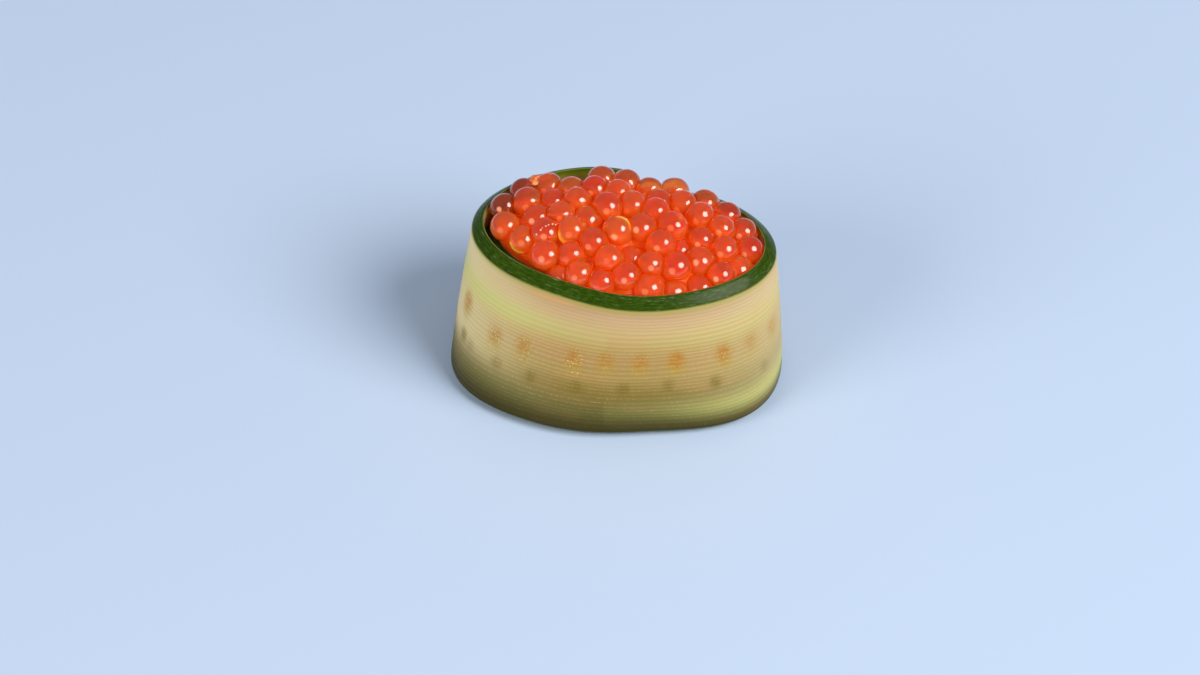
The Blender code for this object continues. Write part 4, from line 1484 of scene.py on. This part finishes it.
@dataclass
class RoeHeap:
    """The eggs, each its own ball with facets where it presses on others, wet with juice."""

    packing: RoePacking
    place: Array
    radius: Array
    finish: RoeFinish = RoeFinish()
    juice_finish: CloudedFinish = JUICE
    rings: int = 15
    segments: int = 26
    facet_gap: float = 0.02 * MM
    facet_sharpness: float = 26.0
    swell: float = 1.18
    dent: float = 0.018
    tones: tuple = (0.1, 0.9)
    seed: int = 7
    same_egg: float = 2.0 * MM
    # Two eggs hold little oil. Their lower halves are painted dark, painted shade that stands for the
    # wall's dark skin and the hollow seen through them.
    clear_eggs: tuple = ((-22.2, 2.0, 33.4), (-19.0, 6.1, 33.2))
    clearness: float = 0.8
    clear_upwards: tuple = (-0.1367, 0.6912, 0.7096)
    shade_cap: Cap = Cap(0.25, -0.7, 0.9)
    # Light from the key lamp gathers on the far side of each egg; it is painted there as a soft
    # light spot, and in a few clearer eggs as a yellow crescent at their edge.
    glow_towards: tuple = (-0.121, -0.883, 0.457)
    glow_scatter: float = 0.1
    glow_range: tuple = (0.1, 0.85)
    # A painted rim light: paler orange where an egg faces out of the heap.
    rim_light_cap: Cap = Cap(0.76, -0.5, 0.72)
    # Half length and half width of the plan, over which the way out of the heap fans out.
    fan: tuple = (45.0 * MM, 30.0 * MM)
    crescent_facing: tuple = (0.1376, -0.6961, 0.7046)
    crescent_cap: Cap = Cap(0.72, 0.16, 0.95)
    crescent_from_middle: float = 0.5
    crescent_width: float = 0.12
    crescents: tuple = (Glint((-7.2, -4.3, 35.9)), Glint((0.5, -3.7, 36.4), (0.494, 0.080, 0.863)),
                        Glint((-15.8, -5.7, 33.1)), Glint((-9.9, 6.4, 34.5)))
    juice_below: float = 2.4 * MM
    juice_blend: float = 0.35 * MM
    juice_wall_gap: float = 0.2 * MM
    # Next to the wall, past this share of the way out, the juice stays level.
    juice_level_from: float = 0.9
    juice_level_drop: float = 0.6 * MM
    juice_eye: float = 0.02
    juice_floor_rings: int = 7
    juice_rings: int = 56
    juice_segments: int = 168

    def egg(self, index: int, directions: Array, draw: np.random.Generator) -> Array:
        """Surface of one egg.

        In each direction the distance from its centre is a smooth minimum of its radius and of
        the distance to the planes half way to its neighbours: (r^-k + sum (cos/h)^k)^(-1/k).
        Two shallow waves keep it from being a perfect ball.

        Args:
            index: number of the egg.
            directions: unit vectors, one for each point.
            draw: source of the waves.

        Returns:
            Points.
        """
        place, radius = self.place, self.radius
        waves = draw.normal(0.0, 1.0, (2, 3))
        wobble = 1.0 + self.dent * np.sin(2.0 * directions @ waves.T).sum(axis=1)
        power = self.facet_sharpness
        total = (self.swell * radius[index] * wobble) ** -power
        apart = place - place[index]
        distance = np.sqrt((apart * apart).sum(axis=1))
        near = (distance > 0.0) & (distance < self.swell * (radius + radius[index]))
        for other in np.flatnonzero(near):
            gap = distance[other]
            half = (gap ** 2 + radius[index] ** 2 - radius[other] ** 2) / (2.0 * gap)
            facing = np.clip(directions @ (apart[other] / gap), 0.0, None)
            total = total + (facing / (half - self.facet_gap)) ** power
        return place[index] + directions * (total ** (-1.0 / power))[:, None]

    def is_egg(self, centre: Array, place_mm: tuple) -> bool:
        """Whether a centre is that of the egg at a place in mm."""
        return np.linalg.norm(np.array(place_mm) * MM - centre) < self.same_egg

    def light_marks(self, centre: Array, directions: Array,
                    draw: np.random.Generator) -> dict[str, Array]:
        """Where an egg's painted rim light, painted shade, painted soft light spot and painted crescent
        lie.

        Each is a cap round a given direction: the way out of the heap, or the way the light
        gathers. A crescent is also held to a thin arc by a bell curve of the cosine to the way
        it faces. A clear egg also has a painted shade, away from the top of the picture of it.

        Args:
            centre: the egg's centre.
            directions: unit vectors, one for each point.
            draw: source of the strengths.

        Returns:
            Masks by attribute name.
        """
        outward = np.array([centre[0] / self.fan[0], centre[1] / self.fan[1], 1.0])
        facing = directions @ (outward / np.linalg.norm(outward))
        spot_way = np.array(self.glow_towards) + draw.normal(0.0, self.glow_scatter, 3)
        spot_way = spot_way / np.linalg.norm(spot_way)
        strength = draw.uniform(*self.glow_range)
        tone = draw.uniform(*self.tones)
        crescent, clearness, shade = 0.0, 0.0, 0.0
        for glint in self.crescents:
            if self.is_egg(centre, glint.egg):
                way = np.array(glint.towards) / np.linalg.norm(glint.towards)
                off_rim = directions @ np.array(self.crescent_facing) - self.crescent_from_middle
                arc = np.exp(-((off_rim / self.crescent_width) ** 2))
                crescent = self.crescent_cap.share(directions @ way) * arc
                tone = 1.0
        if any(self.is_egg(centre, clear) for clear in self.clear_eggs):
            clearness = self.clearness
            shade = self.shade_cap.share(directions @ np.array(self.clear_upwards))
        marks = {"egg_tone": tone, "egg_clearness": clearness, "egg_glow": strength,
                 "egg_edge": self.rim_light_cap.share(facing), "egg_shade": shade,
                 "egg_crescent": crescent}
        count = len(directions)
        return {"egg_middle": np.tile(centre, (count, 1)),
                "egg_spot_way": np.tile(spot_way, (count, 1)),
                **{name: np.broadcast_to(mark, count) for name, mark in marks.items()}}

    def build_eggs(self) -> bpy.types.Object:
        """Build all the eggs as one piece.

        Returns:
            The eggs.
        """
        sphere, sphere_faces = unit_sphere(self.rings, self.segments)
        draw = np.random.default_rng(self.seed)
        parts, marks = [], []
        for index, centre in enumerate(self.place):
            axis = Vector(draw.normal(0.0, 1.0, 3)).normalized()
            directions = sphere @ np.array(Matrix.Rotation(draw.uniform(0.0, TURN), 3, axis))
            parts.append((self.egg(index, directions, draw), sphere_faces))
            marks.append(self.light_marks(centre, directions, draw))
        log.info("roe: %d eggs", len(self.place))
        piece = mesh_piece("roe_eggs", *joined(parts), self.finish.material(),
                           {name: np.concatenate([mark[name] for mark in marks])
                            for name in marks[0]})
        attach(piece, BODY)
        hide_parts("roe")
        return piece

    def egg_tops(self, x: Array, y: Array) -> Array:
        """Height of the eggs' own surface at places in the plan: the highest of their spheres.

        Args:
            x: places along the oval.
            y: places across it.

        Returns:
            Heights.
        """
        place, radius = self.place, self.swell * self.radius
        apart = (x[..., None] - place[:, 0]) ** 2 + (y[..., None] - place[:, 1]) ** 2
        rise = np.sqrt(np.clip(radius ** 2 - apart, 0.0, None))
        return np.where(apart < radius ** 2, place[:, 2] + rise, 0.0).max(axis=-1)

    def juice_height(self, x: Array, y: Array) -> Array:
        """Height of the juice between the eggs.

        Every egg is a paraboloid, its top less d^2 / 2r, and the juice follows their smooth
        maximum, s log(sum exp(z / s)), a set distance lower.

        Args:
            x: places along the oval.
            y: places across it.

        Returns:
            Heights.
        """
        place, radius = self.place, self.radius
        apart = (x[..., None] - place[:, 0]) ** 2 + (y[..., None] - place[:, 1]) ** 2
        caps = place[:, 2] + radius - apart / (2.0 * radius)
        highest = caps.max(axis=-1, keepdims=True)
        total = np.exp((caps - highest) / self.juice_blend).sum(axis=-1)
        return highest[..., 0] + self.juice_blend * np.log(total) - self.juice_below

    def build_juice(self) -> bpy.types.Object:
        """Build the juice that the eggs sit in.

        Rings run from the rice's crown out to the wall, up it, and in again over the eggs'
        lower halves. Next to the wall it stays level.

        Returns:
            The juice.
        """
        packing, count = self.packing, self.juice_segments
        floor = packing.rice_top + packing.route.gap
        foot = packing.route.well_ring(floor - packing.rice_crown, packing.route.gap, count)
        shares = np.linspace(self.juice_eye, 1.0, self.juice_floor_rings)
        rings = dome(foot, shares, floor, packing.rice_crown)
        edge = packing.route.well_ring(packing.heap_edge, self.juice_wall_gap, count)
        rim_level = packing.heap_edge - self.juice_level_drop
        for share in np.linspace(1.0, self.juice_eye, self.juice_rings):
            ring = drawn_in(edge, share)
            level = self.juice_height(ring[:, 0], ring[:, 1])
            ring[:, 2] = np.maximum(level, rim_level) if share > self.juice_level_from else level
            rings.append(ring)
        piece = mesh_piece("roe_juice", *stacked(rings), self.juice_finish.material())
        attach(piece, BODY)
        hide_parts("roe")
        return piece


@dataclass
class BubbleChain:
    """Air bubbles in a chain along one hollow between the eggs."""

    heap: RoeHeap
    finish: CloudedFinish = BUBBLE
    start: tuple = (-13.5 * MM, -7.4 * MM)
    end: tuple = (-10.0 * MM, -4.9 * MM)
    count: int = 8
    radius: float = 0.18 * MM
    least: float = 0.45
    jitter: float = 0.08 * MM
    # Rings and segments of each bubble.
    mesh: tuple = (6, 10)
    seed: int = 4

    def build(self) -> bpy.types.Object:
        """Build the bubbles, half sunk into the eggs' surface along a line.

        Returns:
            The bubbles as one piece.
        """
        sphere, sphere_faces = unit_sphere(*self.mesh)
        draw = np.random.default_rng(self.seed)
        along = np.linspace(0.0, 1.0, self.count)[:, None]
        plan = np.array(self.start) * (1.0 - along) + np.array(self.end) * along
        plan = plan + draw.normal(0.0, self.jitter, plan.shape)
        centres = np.column_stack([plan, self.heap.egg_tops(plan[:, 0], plan[:, 1])])
        sizes = self.radius * draw.uniform(self.least, 1.0, self.count)
        parts = [(centre + sphere * size, sphere_faces) for centre, size in zip(centres, sizes)]
        piece = mesh_piece("juice_bubbles", *joined(parts), self.finish.material())
        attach(piece, BODY)
        return piece


@dataclass
class MembraneFlake:
    """A scrap of roe membrane that sticks between the eggs and the wall at the back left."""

    finish: CloudedFinish = MEMBRANE
    place: tuple = (-16.4 * MM, 8.0 * MM, 35.3 * MM)
    size: tuple = (4.4 * MM, 2.2 * MM, 1.2 * MM)
    crumple: float = 0.5
    crumple_fade: float = 0.8
    crumple_waves: tuple = (2.5, 4.0, 6.5, 10.0, 15.0)
    heading: float = math.radians(36)
    # Rings and segments of the scrap.
    mesh: tuple = (26, 40)
    seed: int = 2

    def build(self) -> bpy.types.Object:
        """Build the scrap: a flat ellipsoid crumpled by a sum of sines in every direction.

        Each sine has a count of waves and the height crumple / count^fade.

        Returns:
            The scrap.
        """
        directions, faces = unit_sphere(*self.mesh)
        draw = np.random.default_rng(self.seed)
        crumple = np.ones(len(directions))
        for count in self.crumple_waves:
            wave = draw.normal(0.0, 1.0, 3)
            wave = wave / np.linalg.norm(wave) * count
            phase = draw.uniform(0.0, TURN)
            height = self.crumple / count ** self.crumple_fade
            crumple = crumple + height * np.sin(directions @ wave * 2.0 + phase)
        flat = directions * crumple[:, None] * 0.5 * np.array(self.size)
        turn = np.array(Matrix.Rotation(self.heading, 3, "Z"))
        piece = mesh_piece("roe_membrane_scrap", flat @ turn.T + np.array(self.place), faces,
                           self.finish.material())
        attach(piece, BODY)
        return piece


@dataclass(frozen=True)
class Softbox:
    """Round soft light: its direction from the sushi, diameter, power in watts and colour."""

    name: str
    towards: tuple
    size: float
    power: float
    colour: str
    mirrored: bool = True
    distance: float = 1.4

    def build(self, aim: Vector) -> None:
        """Put the light in, turned towards a point.

        Args:
            aim: the point it lights.
        """
        data = bpy.data.lights.new(self.name, "AREA")
        data.shape = "DISK"
        data.size = self.size
        data.energy = self.power
        data.color = srgb(self.colour)[:3]
        light = bpy.data.objects.new(self.name, data)
        direction = Vector(self.towards).normalized()
        turn = direction.to_track_quat("Z", "Y").to_matrix().to_4x4()
        light.matrix_world = Matrix.Translation(aim + direction * self.distance) @ turn
        light.visible_glossy = self.mirrored
        bpy.context.scene.collection.objects.link(light)


@dataclass
class Studio:
    """Floor, soft lights and the camera at the photograph's angle."""

    azimuth: float = math.radians(11.185)
    elevation: float = math.radians(44.8)
    distance: float = 0.659
    # The plan's own middle before centring, and how far the camera's axis passes beside it.
    target: tuple = (-1.4156 * MM, -0.3401 * MM, 0.0)
    aim_left: float = 1.882 * MM
    aim_up: float = 4.186 * MM
    lens_mm: float = 105.375
    sensor_mm: float = 36.0
    nearest_shown: float = 0.01
    paper: CloudedFinish = PAPER
    floor_half: float = 2.0
    floor_drop: float = 0.02 * MM
    # The fill is so wide that wet things don't mirror it as a spot.
    softboxes: tuple = (
        Softbox("key", (0.687, -0.281, 0.671), 0.9, 20.3, "#FFF8F0"),
        Softbox("fill", (-0.62, -0.66, 0.42), 0.85, 11.0, "#FFF2E2", mirrored=False),
    )
    aim: tuple = (0.0, 0.0, 25.0 * MM)
    sky: str = "#DCE6F5"
    sky_strength: float = 0.3

    def add_camera(self) -> None:
        """Put the camera in and make it the scene's."""
        back = Vector((math.sin(self.azimuth) * math.cos(self.elevation),
                       -math.cos(self.azimuth) * math.cos(self.elevation),
                       math.sin(self.elevation)))
        right = Vector((math.cos(self.azimuth), math.sin(self.azimuth), 0.0))
        up = back.cross(right)
        place = Vector(self.target) + back * self.distance - right * self.aim_left + up * self.aim_up
        data = bpy.data.cameras.new("camera")
        data.lens = self.lens_mm
        data.sensor_width = self.sensor_mm
        data.clip_start = self.nearest_shown
        camera = bpy.data.objects.new("camera", data)
        turn = Matrix((right, up, back)).transposed().to_4x4()
        camera.matrix_world = Matrix.Translation(place) @ turn
        bpy.context.scene.collection.objects.link(camera)
        bpy.context.scene.camera = camera

    def add_floor(self) -> None:
        """Put in a pale paper floor just below the sushi."""
        half, down = self.floor_half, -self.floor_drop
        points = np.array([[-half, -half, down], [half, -half, down], [half, half, down],
                           [-half, half, down]])
        floor = mesh_piece("floor", points, [[0, 1, 2, 3]], self.paper.material())

    def build(self) -> None:
        """Put in the floor, the lights, the world and the camera."""
        self.add_floor()
        for softbox in self.softboxes:
            softbox.build(Vector(self.aim))
        world = bpy.data.worlds.new("studio")
        world.use_nodes = True
        shade = world.node_tree.nodes["Background"]
        shade.inputs["Color"].default_value = srgb(self.sky)
        shade.inputs["Strength"].default_value = self.sky_strength
        bpy.context.scene.world = world
        bpy.context.scene.view_settings.view_transform = "Standard"
        self.add_camera()


def main() -> None:
    """Build every piece in order and report it."""
    logging.basicConfig(level=logging.INFO, format="%(name)s: %(message)s")
    route = Route()
    packing = RoePacking(route)
    heap = RoeHeap(packing, *packing.settle())
    builders = (
        ("cucumber ribbon", CucumberRibbon(route).build),
        ("rice pad", RicePad(route).build),
        ("eggs", heap.build_eggs),
        ("juice between the eggs", heap.build_juice),
        ("bubbles in the juice", BubbleChain(heap).build),
        ("membrane scrap", MembraneFlake().build),
    )
    for name, build in builders:
        piece = build()
        log.info("%s: %d faces", name, len(piece.data.polygons))
    Studio().build()
    log.info("studio: floor, lights and camera")


if __name__ == "__main__":
    main()
